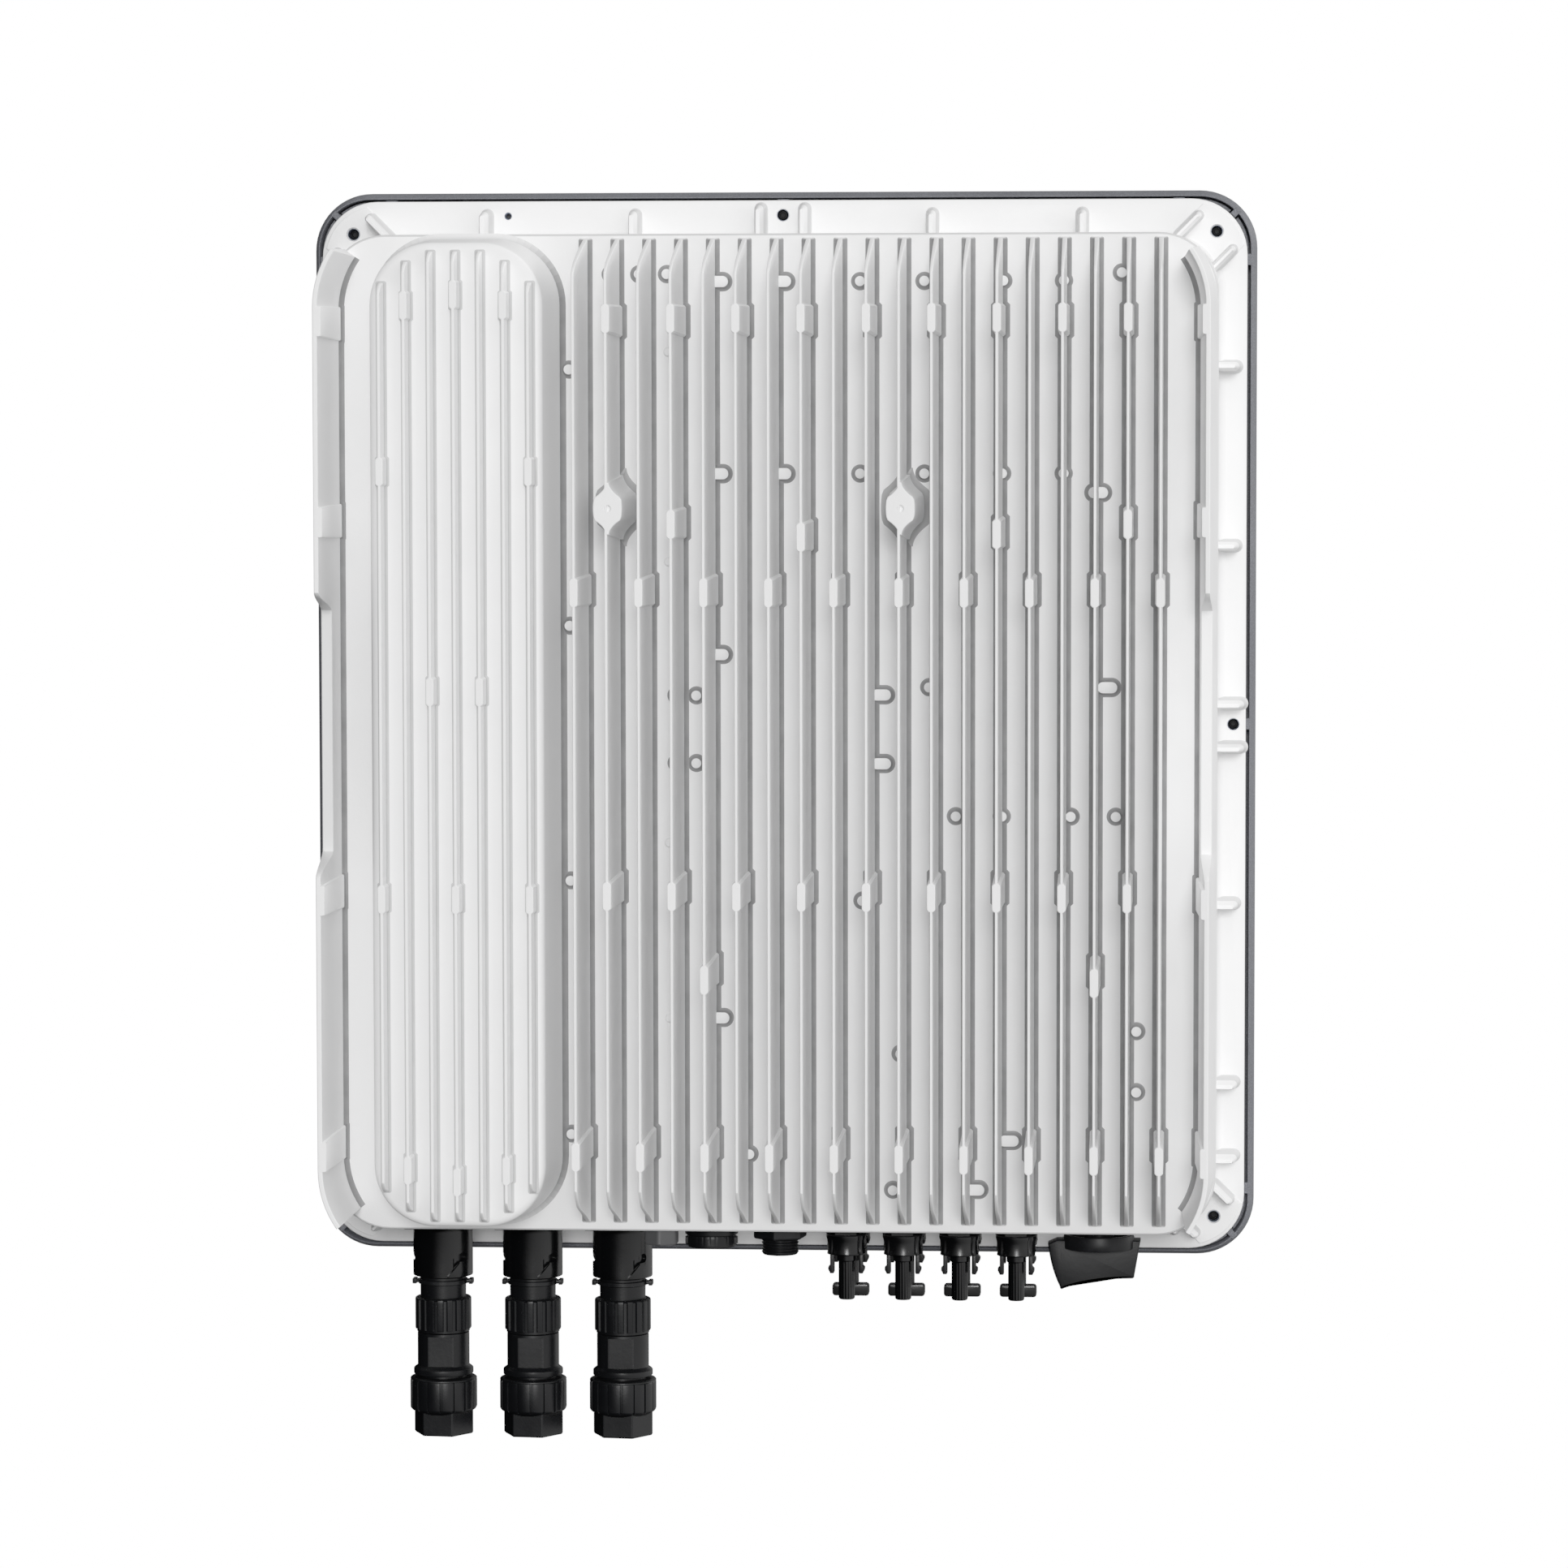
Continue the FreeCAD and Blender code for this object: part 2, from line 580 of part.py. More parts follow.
def choke_windings():
    """A turn of wire every 15 degrees, wrapped round each toroid and touching it."""
    coils = []
    for z in CHOKE_Z:
        outer = cyl_y(POD_X, z, 36.0, POD_FLOOR, CHOKE_FRONT)
        outer = outer.cut(cyl_y(POD_X, z, 14.0, POD_FLOOR - 1, CHOKE_FRONT + 1))
        core = cyl_y(POD_X, z, 32.0, POD_FLOOR + 4, CHOKE_FRONT - 4)
        core = core.cut(cyl_y(POD_X, z, 18.0, POD_FLOOR + 3, CHOKE_FRONT - 3))
        coil = outer.cut(core)
        for k in range(12):
            slot = Part.makeBox(30, 60, 2.4, V(28.5, -30, -1.2))
            slot.rotate(V(0, 0, 0), V(0, 1, 0), 30 * k)
            slot.translate(V(POD_X, -(POD_FLOOR + CHOKE_FRONT) / 2, z))
            coil = coil.cut(slot.cut(core))
        coils.append(coil)
    return group(coils)


def choke_carrier():
    plate = round_rect(POD_X, -117.2, 38.0, 238.0, 12.0, CHOKE_FRONT, CHOKE_FRONT + 3)
    for z in CHOKE_Z:
        plate = plate.cut(cyl_y(POD_X, z, 12.0, CHOKE_FRONT - 1, CHOKE_FRONT + 4))
    feet = []
    for z in (CHOKE_Z[0] + 42, CHOKE_Z[4] - 42):
        feet.append(cyl_y(POD_X, z, 5.0, POD_FLOOR, CHOKE_FRONT))
    return fuse([plate] + feet)


# ------------------------------------------------ power stage electronics
PLATE_FRONT = FIN_HEIGHT + BASE_PLATE
BOARD_BACK = 92.0
BOARD_THICK = 2.0
BOARD_FRONT = BOARD_BACK + BOARD_THICK
BOARD_X0 = -212.0
BOARD_X1 = 206.0
BOARD_Z0 = -316.0
BOARD_Z1 = 118.0
MODULE_Z = [20.0, -90.0, -200.0]
TRAY_BACK = 152.0
TRAY_FRONT = 153.5
CONTROL_BACK = 160.0
CONTROL_FRONT = 161.6


def board_post_places():
    return [(x, z) for x in (-205, -10, 100) for z in (-308, -150, 110)]


def tray_post_places():
    return [(x, z) for x in (-222, 216) for z in (-300, -120, 100)]


def thermal_pads():
    return group([box(-175, -65, PLATE_FRONT, PLATE_FRONT + 0.6, z - 26, z + 26) for z in MODULE_Z])


def power_modules():
    modules = []
    for z in MODULE_Z:
        base = box(-173, -67, PLATE_FRONT + 0.6, PLATE_FRONT + 3.6, z - 24, z + 24)
        case = box(-165, -75, PLATE_FRONT + 3.6, PLATE_FRONT + 14, z - 22, z + 22)
        case = case.makeFillet(1.5, [e for e in case.Edges if e.BoundBox.YMax < -(PLATE_FRONT + 13.9)])
        pins = [cyl_y(-160 + 10 * i, z + s * 18, 0.9, PLATE_FRONT + 13, BOARD_BACK) for i in range(9) for s in (-1, 1)]
        modules.append(fuse([base, case] + pins))
    return group(modules)


def power_board():
    board = box(BOARD_X0, BOARD_X1, BOARD_BACK, BOARD_FRONT, BOARD_Z0, BOARD_Z1)
    corner = [e for e in board.Edges if abs(e.BoundBox.YLength - BOARD_THICK) < 0.01]
    board = board.makeFillet(5.0, corner)
    for x, z in board_post_places():
        board = board.cut(cyl_y(x, z, 2.0, BOARD_BACK - 1, BOARD_FRONT + 1))
    return board


def power_board_posts():
    posts = []
    for x, z in board_post_places():
        post = prism_y(x, z, 8.0, PLATE_FRONT, BOARD_BACK)
        stud = cyl_y(x, z, 2.0, BOARD_BACK, BOARD_FRONT)
        head = cyl_y(x, z, 3.5, BOARD_FRONT, BOARD_FRONT + 2.4)
        posts.append(fuse([post, stud, head]))
    return group(posts)


def dc_link_capacitors():
    cans = []
    for i in range(5):
        for z in (78, 36):
            x = -188 + 42 * i
            can = cyl_y(x, z, 17.0, BOARD_FRONT, BOARD_FRONT + 46)
            can = can.makeFillet(2.0, [e for e in can.Edges if e.BoundBox.YMax < -(BOARD_FRONT + 45.9)])
            cans.append(can)
    return group(cans)


def film_capacitors():
    blocks = []
    for i in range(4):
        x = -180 + 48 * i
        block = box(x - 20, x + 20, BOARD_FRONT, BOARD_FRONT + 34, -40, -10)
        blocks.append(block.makeFillet(1.5, block.Edges))
    return group(blocks)


def emi_chokes():
    rings = []
    for x in (60, 125, 180):
        ring = cyl_y(x, -265, 24.0, BOARD_FRONT, BOARD_FRONT + 24)
        ring = ring.cut(cyl_y(x, -265, 11.0, BOARD_FRONT - 1, BOARD_FRONT + 25))
        rings.append(ring.makeFillet(4.0, [e for e in ring.Edges if e.BoundBox.YMax < -(BOARD_FRONT + 23.9)]))
    return group(rings)


def ac_relays():
    return group([box(40 + 34 * i, 66 + 34 * i, BOARD_FRONT, BOARD_FRONT + 24, z, z + 20)
                  for i in range(5) for z in (-215, -188)])


def shield_tray():
    tray = box(-226, 220, TRAY_BACK, TRAY_FRONT, -312, 112)
    tray = tray.cut(box(-60, 60, TRAY_BACK - 1, TRAY_FRONT + 1, -290, -200))
    lip = box(-226, 220, TRAY_FRONT, TRAY_FRONT + 8, -312, -310.5)
    lip = lip.fuse(box(-226, 220, TRAY_FRONT, TRAY_FRONT + 8, 110.5, 112))
    tray = tray.fuse(lip)
    return tray


def tray_posts():
    return group([prism_y(x, z, 9.0, PLATE_FRONT, TRAY_BACK) for x, z in tray_post_places()])


def control_board():
    return box(-150, 90, CONTROL_BACK, CONTROL_FRONT, -130, 60)


def control_spacers():
    return group([cyl_y(x, z, 3.0, TRAY_FRONT, CONTROL_BACK) for x in (-144, 84) for z in (-124, 54)])


def control_chips():
    big = box(-60, -28, CONTROL_FRONT, CONTROL_FRONT + 2.5, -40, -8)
    row = [box(-130 + 40 * i, -112 + 40 * i, CONTROL_FRONT, CONTROL_FRONT + 2, 20, 32) for i in range(5)]
    ports = [box(-140 + 50 * i, -118 + 50 * i, CONTROL_FRONT, CONTROL_FRONT + 12, -126, -108) for i in range(4)]
    return group([big] + row + ports)


# --------------------------------------------------------- DC load switch
SHAFT_R = 4.0
KNOB_TOP = -387.0
KNOB_RIM_BOTTOM = -394.6


def dc_switch_body():
    top = BOTTOM_Z + CASE_WALL
    body = box(KNOB_X - 28, KNOB_X + 28, KNOB_DEPTH - 24, KNOB_DEPTH + 24, top, top + 52)
    body = body.makeFillet(2.0, [e for e in body.Edges if e.BoundBox.ZLength > 50])
    for k in range(3):
        groove = box(KNOB_X - 29, KNOB_X + 29, KNOB_DEPTH + 22.5, KNOB_DEPTH + 25, top + 12 + 13 * k, top + 14 + 13 * k)
        body = body.cut(groove)
    return body.cut(cyl_z(KNOB_X, KNOB_DEPTH, SHAFT_R + RUN_FIT, top - 1, top + 40))


def dc_switch_shaft():
    top = BOTTOM_Z + CASE_WALL
    return cyl_z(KNOB_X, KNOB_DEPTH, SHAFT_R, -392.0, top + 38)


def dc_switch_seal():
    return ring_z(KNOB_X, KNOB_DEPTH, 6.0, SHAFT_R + RUN_FIT, BOTTOM_Z, BOTTOM_Z + CASE_WALL)


def dc_switch_knob():
    rim = ring_z(KNOB_X, KNOB_DEPTH, 19.2, 16.6, KNOB_RIM_BOTTOM, KNOB_TOP)
    floor = cyl_z(KNOB_X, KNOB_DEPTH, 19.2, KNOB_RIM_BOTTOM, -391.5)
    hub = cyl_z(KNOB_X, KNOB_DEPTH, 8.0, -393, -383.0)
    y0 = -KNOB_DEPTH - 6.5
    a = V(KNOB_X + 22.2, y0, -389.7)
    b = V(KNOB_X + 27.0, y0, -391.9)
    c = V(KNOB_X + 19.6, y0, -416.4)
    low = V(KNOB_X + 2.0, y0, -411.7)
    e = V(KNOB_X - 18.0, y0, -410.2)
    f = V(KNOB_X - 22.2, y0, -389.7)
    side = Part.Arc(b, V(KNOB_X + 24.4, y0, -404.6), c).toShape()
    under = Part.Arc(c, low, e).toShape()
    wire = Part.Wire([Part.makeLine(a, b), side, under, Part.makeLine(e, f), Part.makeLine(f, a)])
    blade = Part.Face(wire).extrude(V(0, 13, 0))
    corners = [g for g in blade.Edges if g.BoundBox.YLength > 12 and g.BoundBox.ZMin < -405]
    blade = blade.makeFillet(1.8, corners)
    blade = blade.cut(cyl_z(KNOB_X, KNOB_DEPTH, 16.6, -391.5, -380))
    knob = fuse([rim, floor, hub, blade])
    return knob.cut(cyl_z(KNOB_X, KNOB_DEPTH, SHAFT_R, -392.0, -380))


# ----------------------------------------------------- AC connector group
SLEEVE_END = -413.0
NOSE_TOP = -391.0
RING_TOP = -413.3
RING_LOW = -416.8
COLLAR_TOP = -424.2
COLLAR_LOW = -442.7
PLUG_SHOULDER = -443.0
PLUG_FLANGE_TOP = -462.0
PLUG_FLANGE_LOW = -466.4
NUT_TOP = -467.0
NUT_STEP = -485.2
NUT_END = -500.3
CABLE_R = 9.0
PIN_SPOTS = [(0.0, 0.0)] + [(7.0 * math.cos(math.radians(a)), 7.0 * math.sin(math.radians(a)))
                            for a in (45, 135, 225, 315)]


def ac_socket(x):
    d = AC_DEPTH
    plate = Part.makeBox(38, 38, 4.5, V(x - 19, -d - 19, BOTTOM_Z - 4.5))
    plate = plate.makeFillet(4.0, [e for e in plate.Edges if e.BoundBox.ZLength > 4])
    sleeve = ring_z(x, d, AC_SLEEVE_R, 13.8, SLEEVE_END, BOTTOM_Z - 4)
    core = cyl_z(x, d, 14.2, -389.5, BOTTOM_Z + 16)
    body = fuse([plate, sleeve, core])
    # three helical bayonet tracks, each cut as a run of short steps, with a round lock hole
    for turn in (0, 120, 240):
        for k in range(9):
            track = Part.makeBox(4, 3.4, 3.6, V(14.5, -1.7, -1.8))
            track.rotate(V(0, 0, 0), V(0, 0, 1), turn + 135 - 6.1 * k)
            track.translate(V(x, -d, -402.2 - 1.3 * k))
            body = body.cut(track)
        lock = Part.makeCylinder(2.5, 4, V(14.5, 0, 0), V(1, 0, 0))
        lock.rotate(V(0, 0, 0), V(0, 0, 1), turn + 139.5)
        lock.translate(V(x, -d, -401.6))
        body = body.cut(lock)
    for px, py in PIN_SPOTS:
        body = body.cut(cyl_z(x + px, d - py, 1.8, -392, BOTTOM_Z + 20))
    return body


def ac_lock_nuts():
    top = BOTTOM_Z + CASE_WALL
    nuts = []
    for x in AC_X:
        nut = prism_z(x, AC_DEPTH, 40.0, top, top + 5)
        nuts.append(nut.cut(cyl_z(x, AC_DEPTH, 14.2, top - 1, top + 6)))
    return group(nuts)


def ac_contact_pins():
    pins = []
    for x in AC_X:
        for px, py in PIN_SPOTS:
            pins.append(cyl_z(x + px, AC_DEPTH - py, 1.8, -400.0, BOTTOM_Z + 22))
    return group(pins)


def ac_plug(x):
    d = AC_DEPTH
    nose = cyl_z(x, d, 13.5, SLEEVE_END, NOSE_TOP)
    core = cyl_z(x, d, 10.9, PLUG_SHOULDER, SLEEVE_END)
    body = cyl_z(x, d, 13.9, PLUG_FLANGE_TOP, PLUG_SHOULDER)
    flat = box(x - 20, x + 20, d - 20, d - 12.1, PLUG_FLANGE_TOP + 1, PLUG_SHOULDER + 1)
    body = body.cut(flat)
    flange = cyl_z(x, d, 16.0, PLUG_FLANGE_LOW, PLUG_FLANGE_TOP)
    flange = flange.makeChamfer(1.2, [e for e in flange.Edges if e.BoundBox.ZMin > PLUG_FLANGE_TOP - 0.01])
    thread = cyl_z(x, d, 12.25, -480.0, PLUG_FLANGE_LOW)
    plug = fuse([nose, core, body, flange, thread])
    plug = plug.cut(cyl_z(x, d, 8.0, -481, -425))
    for px, py in PIN_SPOTS:
        plug = plug.cut(cyl_z(x + px, d - py, 1.85, -402, -390))
    return plug


def ac_locking_ring(x):
    d = AC_DEPTH
    band = cyl_z(x, d, 13.2, RING_LOW, RING_TOP)
    tabs = Part.makeBox(32, 7, 3.1, V(x - 16, -d - 3.5, RING_LOW + 0.2))
    tabs = tabs.common(cyl_z(x, d, 16.0, RING_LOW, RING_TOP))
    neck = cyl_z(x, d, 12.4, COLLAR_TOP, RING_LOW)
    collar = cyl_z(x, d, 14.1, COLLAR_LOW, COLLAR_TOP)
    parts = [band, tabs, neck, collar]
    for k in range(18):
        rib = Part.makeBox(3, 2.9, COLLAR_TOP - COLLAR_LOW - 1.0, V(12.0, -1.45, COLLAR_LOW + 0.3))
        rib.rotate(V(0, 0, 0), V(0, 0, 1), 20 * k)
        rib.translate(V(x, -d, 0))
        parts.append(rib)
    ring = fuse(parts)
    return ring.cut(cyl_z(x, d, 10.9 + RUN_FIT, -450, -400))


def ac_gland_nut(x):
    d = AC_DEPTH
    drum = cyl_z(x, d, 17.3, NUT_STEP, NUT_TOP)
    drum = drum.makeChamfer(0.8, drum.Edges[0:1] + drum.Edges[2:3])
    parts = [drum]
    for k in range(14):
        rib = Part.makeBox(2.6, 5.4, NUT_TOP - NUT_STEP - 2.4, V(15.5, -2.7, NUT_STEP + 1.2))
        rib.rotate(V(0, 0, 0), V(0, 0, 1), 360.0 / 14 * k)
        rib.translate(V(x, -d, 0))
        parts.append(rib)
    parts.append(prism_z(x, d, 32.0, NUT_END, NUT_STEP + 1, 6, 53.4))
    nut = fuse(parts)
    nut = nut.cut(cyl_z(x, d, 12.25, -484.0, NUT_TOP + 1))
    return nut.cut(cyl_z(x, d, CABLE_R, NUT_END - 1, NUT_STEP + 3))


def ac_gland_seals():
    return group([ring_z(x, AC_DEPTH, 12.25, 9.6, -484.0, -480.0) for x in AC_X])


# ----------------------------------------------------- PV connector group
PV_BODY_R = 10.6
PV_BODY_LOW = -396.0
PV_BORE_R = 4.35
PV_PLUG_R = PV_BORE_R - RUN_FIT
PV_PLUG_TOP = -386.0


def pv_places():
    return [(x, d) for d in PV_DEPTHS for x in PV_X]


def pv_sockets():
    sockets = []
    for x, d in pv_places():
        hexagon = prism_z(x, d, 22.5, BOTTOM_Z - 4, BOTTOM_Z)
        cup = Part.makeCone(9.0, PV_BODY_R, 10.5, V(x, -d, BOTTOM_Z - 4), V(0, 0, -1))
        stem = cyl_z(x, d, 6.5, BOTTOM_Z, BOTTOM_Z + 14)
        body = fuse([hexagon, cup, stem])
        body = body.cut(cyl_z(x, d, PV_BORE_R, PV_BODY_LOW - 1, PV_PLUG_TOP + 0.3))
        body = body.cut(ring_z(x, d, 8.6, 6.0, PV_BODY_LOW - 1, PV_BODY_LOW + 4))
        arms = []
        for s in (-1, 1):
            x0 = x + s * 8.6
            arms.append(box(min(x0, x0 - s * 2.2), max(x0, x0 - s * 2.2), d - 3, d + 3, -406.5, PV_BODY_LOW + 2))
            tip = x0 + s * 1.0
            arms.append(box(min(tip, tip - s * 3.2), max(tip, tip - s * 3.2), d - 3, d + 3, -406.5, -403.0))
        body = body.cut(box(x - 12, x + 12, d - 3.6, d + 3.6, PV_BODY_LOW - 1, PV_BODY_LOW + 2).cut(
            cyl_z(x, d, 6.4, PV_BODY_LOW - 2, PV_BODY_LOW + 3)))
        sockets.append(fuse([body] + arms))
    return group(sockets)


def pv_lock_nuts():
    top = BOTTOM_Z + CASE_WALL
    nuts = []
    for x, d in pv_places():
        nuts.append(prism_z(x, d, 20.0, top, top + 4).cut(cyl_z(x, d, 6.5, top - 1, top + 5)))
    return group(nuts)


def pv_plug_pin(x, d):
    """Dust plug of the rear row: a plain fluted pin."""
    rod = cyl_z(x, d, PV_PLUG_R, -420.4, PV_PLUG_TOP)
    return rod.makeChamfer(0.5, [e for e in rod.Edges if e.BoundBox.ZMax < -420.3])


def pv_plug_tee(x, d):
    """Dust plug of the front row: a pin that ends in a finger bar."""
    rod = cyl_z(x, d, PV_PLUG_R, -419.0, PV_PLUG_TOP)
    bar = Part.makeBox(19.8, 7.0, 6.6, V(x - 9.9, -d - 3.5, -424.6))
    bar = bar.makeFillet(1.0, bar.Edges)
    return fuse([rod, bar])


# ------------------------------------------------- small bottom fittings
def vent_valve():
    cap = prism_z(VENT_X, VENT_DEPTH, 19.4, -390.3, BOTTOM_Z, 6, 25)
    cap = cap.common(cyl_z(VENT_X, VENT_DEPTH, 9.3, -390.3, BOTTOM_Z))
    stem = cyl_z(VENT_X, VENT_DEPTH, 5.0, BOTTOM_Z, BOTTOM_Z + 9)
    return fuse([cap, stem])


def data_port_cap():
    x = DATA_X
    d = DATA_DEPTH
    flange = cyl_z(x, d, 14.2, -386.6, BOTTOM_Z)
    skirt = cyl_z(x, d, 12.9, -393.2, -386.6)
    lugs = Part.makeBox(28.4, 8, 3.4, V(x - 14.2, -d - 4, -391.4))
    lugs = lugs.common(cyl_z(x, d, 13.9, -392, -387))
    stem = cyl_z(x, d, 10.0, BOTTOM_Z, BOTTOM_Z + 10)
    return fuse([flange, skirt, lugs, stem])


def module_port():
    x = ANTENNA_X
    d = ANTENNA_DEPTH
    hexagon = prism_z(x, d, 29.6, -388.4, BOTTOM_Z, 6, 20)
    barrel = cyl_z(x, d, 9.3, -397.0, -388.4)
    parts = [hexagon, barrel, cyl_z(x, d, 9.0, BOTTOM_Z, BOTTOM_Z + 10)]
    for k in range(4):
        parts.append(cyl_z(x, d, 9.9, -396.0 + 1.9 * k, -395.0 + 1.9 * k))
    return fuse(parts)


# ---------------------------------------------------------------- output
save(rear_housing(), "rear_housing")
save(front_cover(), "front_cover")
save(cover_gasket(), "cover_gasket")
save(cover_screws(), "cover_screws")
save(screw_caps(), "screw_caps")
save(display_window(), "display_window")
save(display_panel(), "display_panel")
save(choke_cores(), "choke_cores")
save(choke_windings(), "choke_windings")
save(choke_carrier(), "choke_carrier")
save(thermal_pads(), "thermal_pads")
save(power_modules(), "power_modules")
save(power_board(), "power_board")
save(power_board_posts(), "power_board_posts")
save(dc_link_capacitors(), "dc_link_capacitors")
save(film_capacitors(), "film_capacitors")
save(emi_chokes(), "emi_chokes")
save(ac_relays(), "ac_relays")
save(shield_tray(), "shield_tray")
save(tray_posts(), "tray_posts")
save(control_board(), "control_board")
save(control_spacers(), "control_spacers")
save(control_chips(), "control_chips")
save(dc_switch_body(), "dc_switch_body")
save(dc_switch_shaft(), "dc_switch_shaft")
save(dc_switch_seal(), "dc_switch_seal")
save(dc_switch_knob(), "dc_switch_knob")
save(ac_lock_nuts(), "ac_lock_nuts")
save(ac_contact_pins(), "ac_contact_pins")
save(ac_gland_seals(), "ac_gland_seals")
for n, x in enumerate(AC_X, 1):
    save(ac_socket(x), "ac_socket_%d" % n)
    save(ac_plug(x), "ac_plug_%d" % n)
    save(ac_locking_ring(x), "ac_locking_ring_%d" % n)
    save(ac_gland_nut(x), "ac_gland_nut_%d" % n)
save(pv_sockets(), "pv_sockets")
save(pv_lock_nuts(), "pv_lock_nuts")
for n, (x, d) in enumerate(pv_places(), 1):
    plug = pv_plug_pin(x, d) if d == PV_DEPTHS[0] else pv_plug_tee(x, d)
    save(plug, "pv_dust_plug_%d" % n)
save(vent_valve(), "vent_valve")
save(data_port_cap(), "data_port_cap")
save(module_port(), "module_port")
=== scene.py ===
from math import atan2, ceil, cos, degrees, pi, radians, sin, sqrt

import bmesh
import bpy
from mathutils import Matrix, Vector


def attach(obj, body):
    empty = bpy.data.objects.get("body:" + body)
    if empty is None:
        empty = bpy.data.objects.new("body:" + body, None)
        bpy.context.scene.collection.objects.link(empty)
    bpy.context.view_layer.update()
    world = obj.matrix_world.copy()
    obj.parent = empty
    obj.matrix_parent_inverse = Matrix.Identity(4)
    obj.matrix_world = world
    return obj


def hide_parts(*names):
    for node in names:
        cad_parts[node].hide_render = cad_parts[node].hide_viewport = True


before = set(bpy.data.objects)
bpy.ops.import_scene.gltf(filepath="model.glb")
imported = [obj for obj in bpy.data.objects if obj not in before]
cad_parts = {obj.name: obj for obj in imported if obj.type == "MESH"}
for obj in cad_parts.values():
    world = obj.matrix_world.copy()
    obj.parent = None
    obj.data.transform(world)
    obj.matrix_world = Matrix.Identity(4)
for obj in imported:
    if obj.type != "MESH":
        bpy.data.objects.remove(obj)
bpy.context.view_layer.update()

# The object hangs with +Z up. Depth below is measured in millimetres in
# front of the fin tips, so a point at depth d lies at Y = -d.
MM = 0.001
BODY_X = -3.8
BODY_Z = -119.5
BOSS_X = 75.0
FIN_BASE = 66.8
CASE_HALF_X = 233.2
CASE_HALF_Z = 262.0
CASE_R = 31.0
BOTTOM_Z = BODY_Z - CASE_HALF_Z
FLANGE_REAR = 168.0
FLANGE_FRONT = 174.0
FLANGE_R = 30.0
CORNER_SCREW_X = 233.3
CORNER_SCREW_Z = 266.0
COVER_HALF_X = 255.6
COVER_HALF_Z = 288.5
COVER_R = 31.0
COVER_BEND_R = 9.0
WINDOW_Z = 12.0
AC_X = (176.6, 128.1, 79.6)
AC_DEPTH = 115.0
PV_X = tuple(-42.2 - 30.0 * i for i in range(4))
PV_DEPTHS = (92.0, 132.0)
KNOB_X = -175.7
KNOB_DEPTH = 110.0
VENT_X = 55.5
VENT_DEPTH = 82.0
DATA_X = 30.0
DATA_DEPTH = 95.0
MODULE_X = -6.6
MODULE_DEPTH = 95.0

# (x side, z side, outward heading) of the four corners
CORNERS = [(sx, sz, atan2(sz, sx)) for sx in (-1, 1) for sz in (-1, 1)]


# ------------------------------------------------------------ mesh tools
class Build:
    """Collects closed shells in millimetres and turns them into one object."""

    def __init__(self):
        self.verts = []
        self.faces = []
        self.painted_shades = []

    def add(self, verts, faces, painted_shades):
        start = len(self.verts)
        self.verts += [tuple(v) for v in verts]
        self.faces += [tuple(i + start for i in f) for f in faces]
        self.painted_shades += painted_shades

    def loft(self, rings, loop=False, roots=0, painted_shade=1.0, root_sides=(), facing=False):
        """Skin a list of rings that all have the same number of points.

        The first `roots` bands, and the sides named in root_sides, are root fillets; they carry a
        painted shade amount, which the casting's material reads as a darker colour.
        With facing, roots that run level get only a little of the painted shade and the upright ones get all
        of it.
        """
        n = len(rings[0])
        verts = [p for ring in rings for p in ring]
        faces = []
        painted_shades = []
        last = len(rings) if loop else len(rings) - 1
        for i in range(last):
            a = i * n
            b = ((i + 1) % len(rings)) * n
            for j in range(n):
                k = (j + 1) % n
                faces.append((a + j, a + k, b + k, b + j))
                # How much painted shade this face gets; with facing, more on upright faces.
                turned = 1.0
                if facing:
                    run = rings[i][k][0] - rings[i][j][0]
                    rise = rings[i][k][2] - rings[i][j][2]
                    turned = 0.15 + 0.85 * rise * rise / (run * run + rise * rise + 1e-9)
                painted_shades.append(painted_shade * turned if i < roots or j in root_sides else 0.0)
        if not loop:
            faces.append(tuple(range(n)))
            end = (len(rings) - 1) * n
            faces.append(tuple(end + j for j in reversed(range(n))))
            painted_shades += [0.0, 0.0]
        self.add(verts, faces, painted_shades)


def to_mesh(build, name):
    mesh = bpy.data.meshes.new(name)
    mesh.from_pydata([(x * MM, y * MM, z * MM) for x, y, z in build.verts], [], build.faces)
    # Per-face painted shade for root fillets and edges, read by the casting's material.
    if any(build.painted_shades):
        mesh.attributes.new("painted_root_shade", "FLOAT", "FACE").data.foreach_set("value", build.painted_shades)
    bm = bmesh.new()
    bm.from_mesh(mesh)
    bmesh.ops.remove_doubles(bm, verts=bm.verts, dist=1e-7)
    bmesh.ops.recalc_face_normals(bm, faces=bm.faces)
    bm.to_mesh(mesh)
    bm.free()
    mesh.validate()
    return mesh


def join(meshes):
    """Puts several meshes into one."""
    bm = bmesh.new()
    for mesh in meshes:
        bm.from_mesh(mesh)
    out = bpy.data.meshes.new(meshes[0].name)
    bm.to_mesh(out)
    bm.free()
    return out


def placed(template, x, d):
    """Copy of a mesh that was built on the Z axis, moved to its place under the case."""
    mesh = template.copy()
    mesh.transform(Matrix.Translation(Vector((x, -d, 0)) * MM))
    return mesh


def put(name, mesh, material, body, replaces=(), angle=32.0):
    mesh.polygons.foreach_set("use_smooth", [True] * len(mesh.polygons))
    mesh.set_sharp_from_angle(angle=radians(angle))
    mesh.materials.clear()
    mesh.materials.append(material)
    obj = bpy.data.objects.new(name, mesh)
    bpy.context.scene.collection.objects.link(obj)
    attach(obj, body)
    if replaces:
        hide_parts(*replaces)


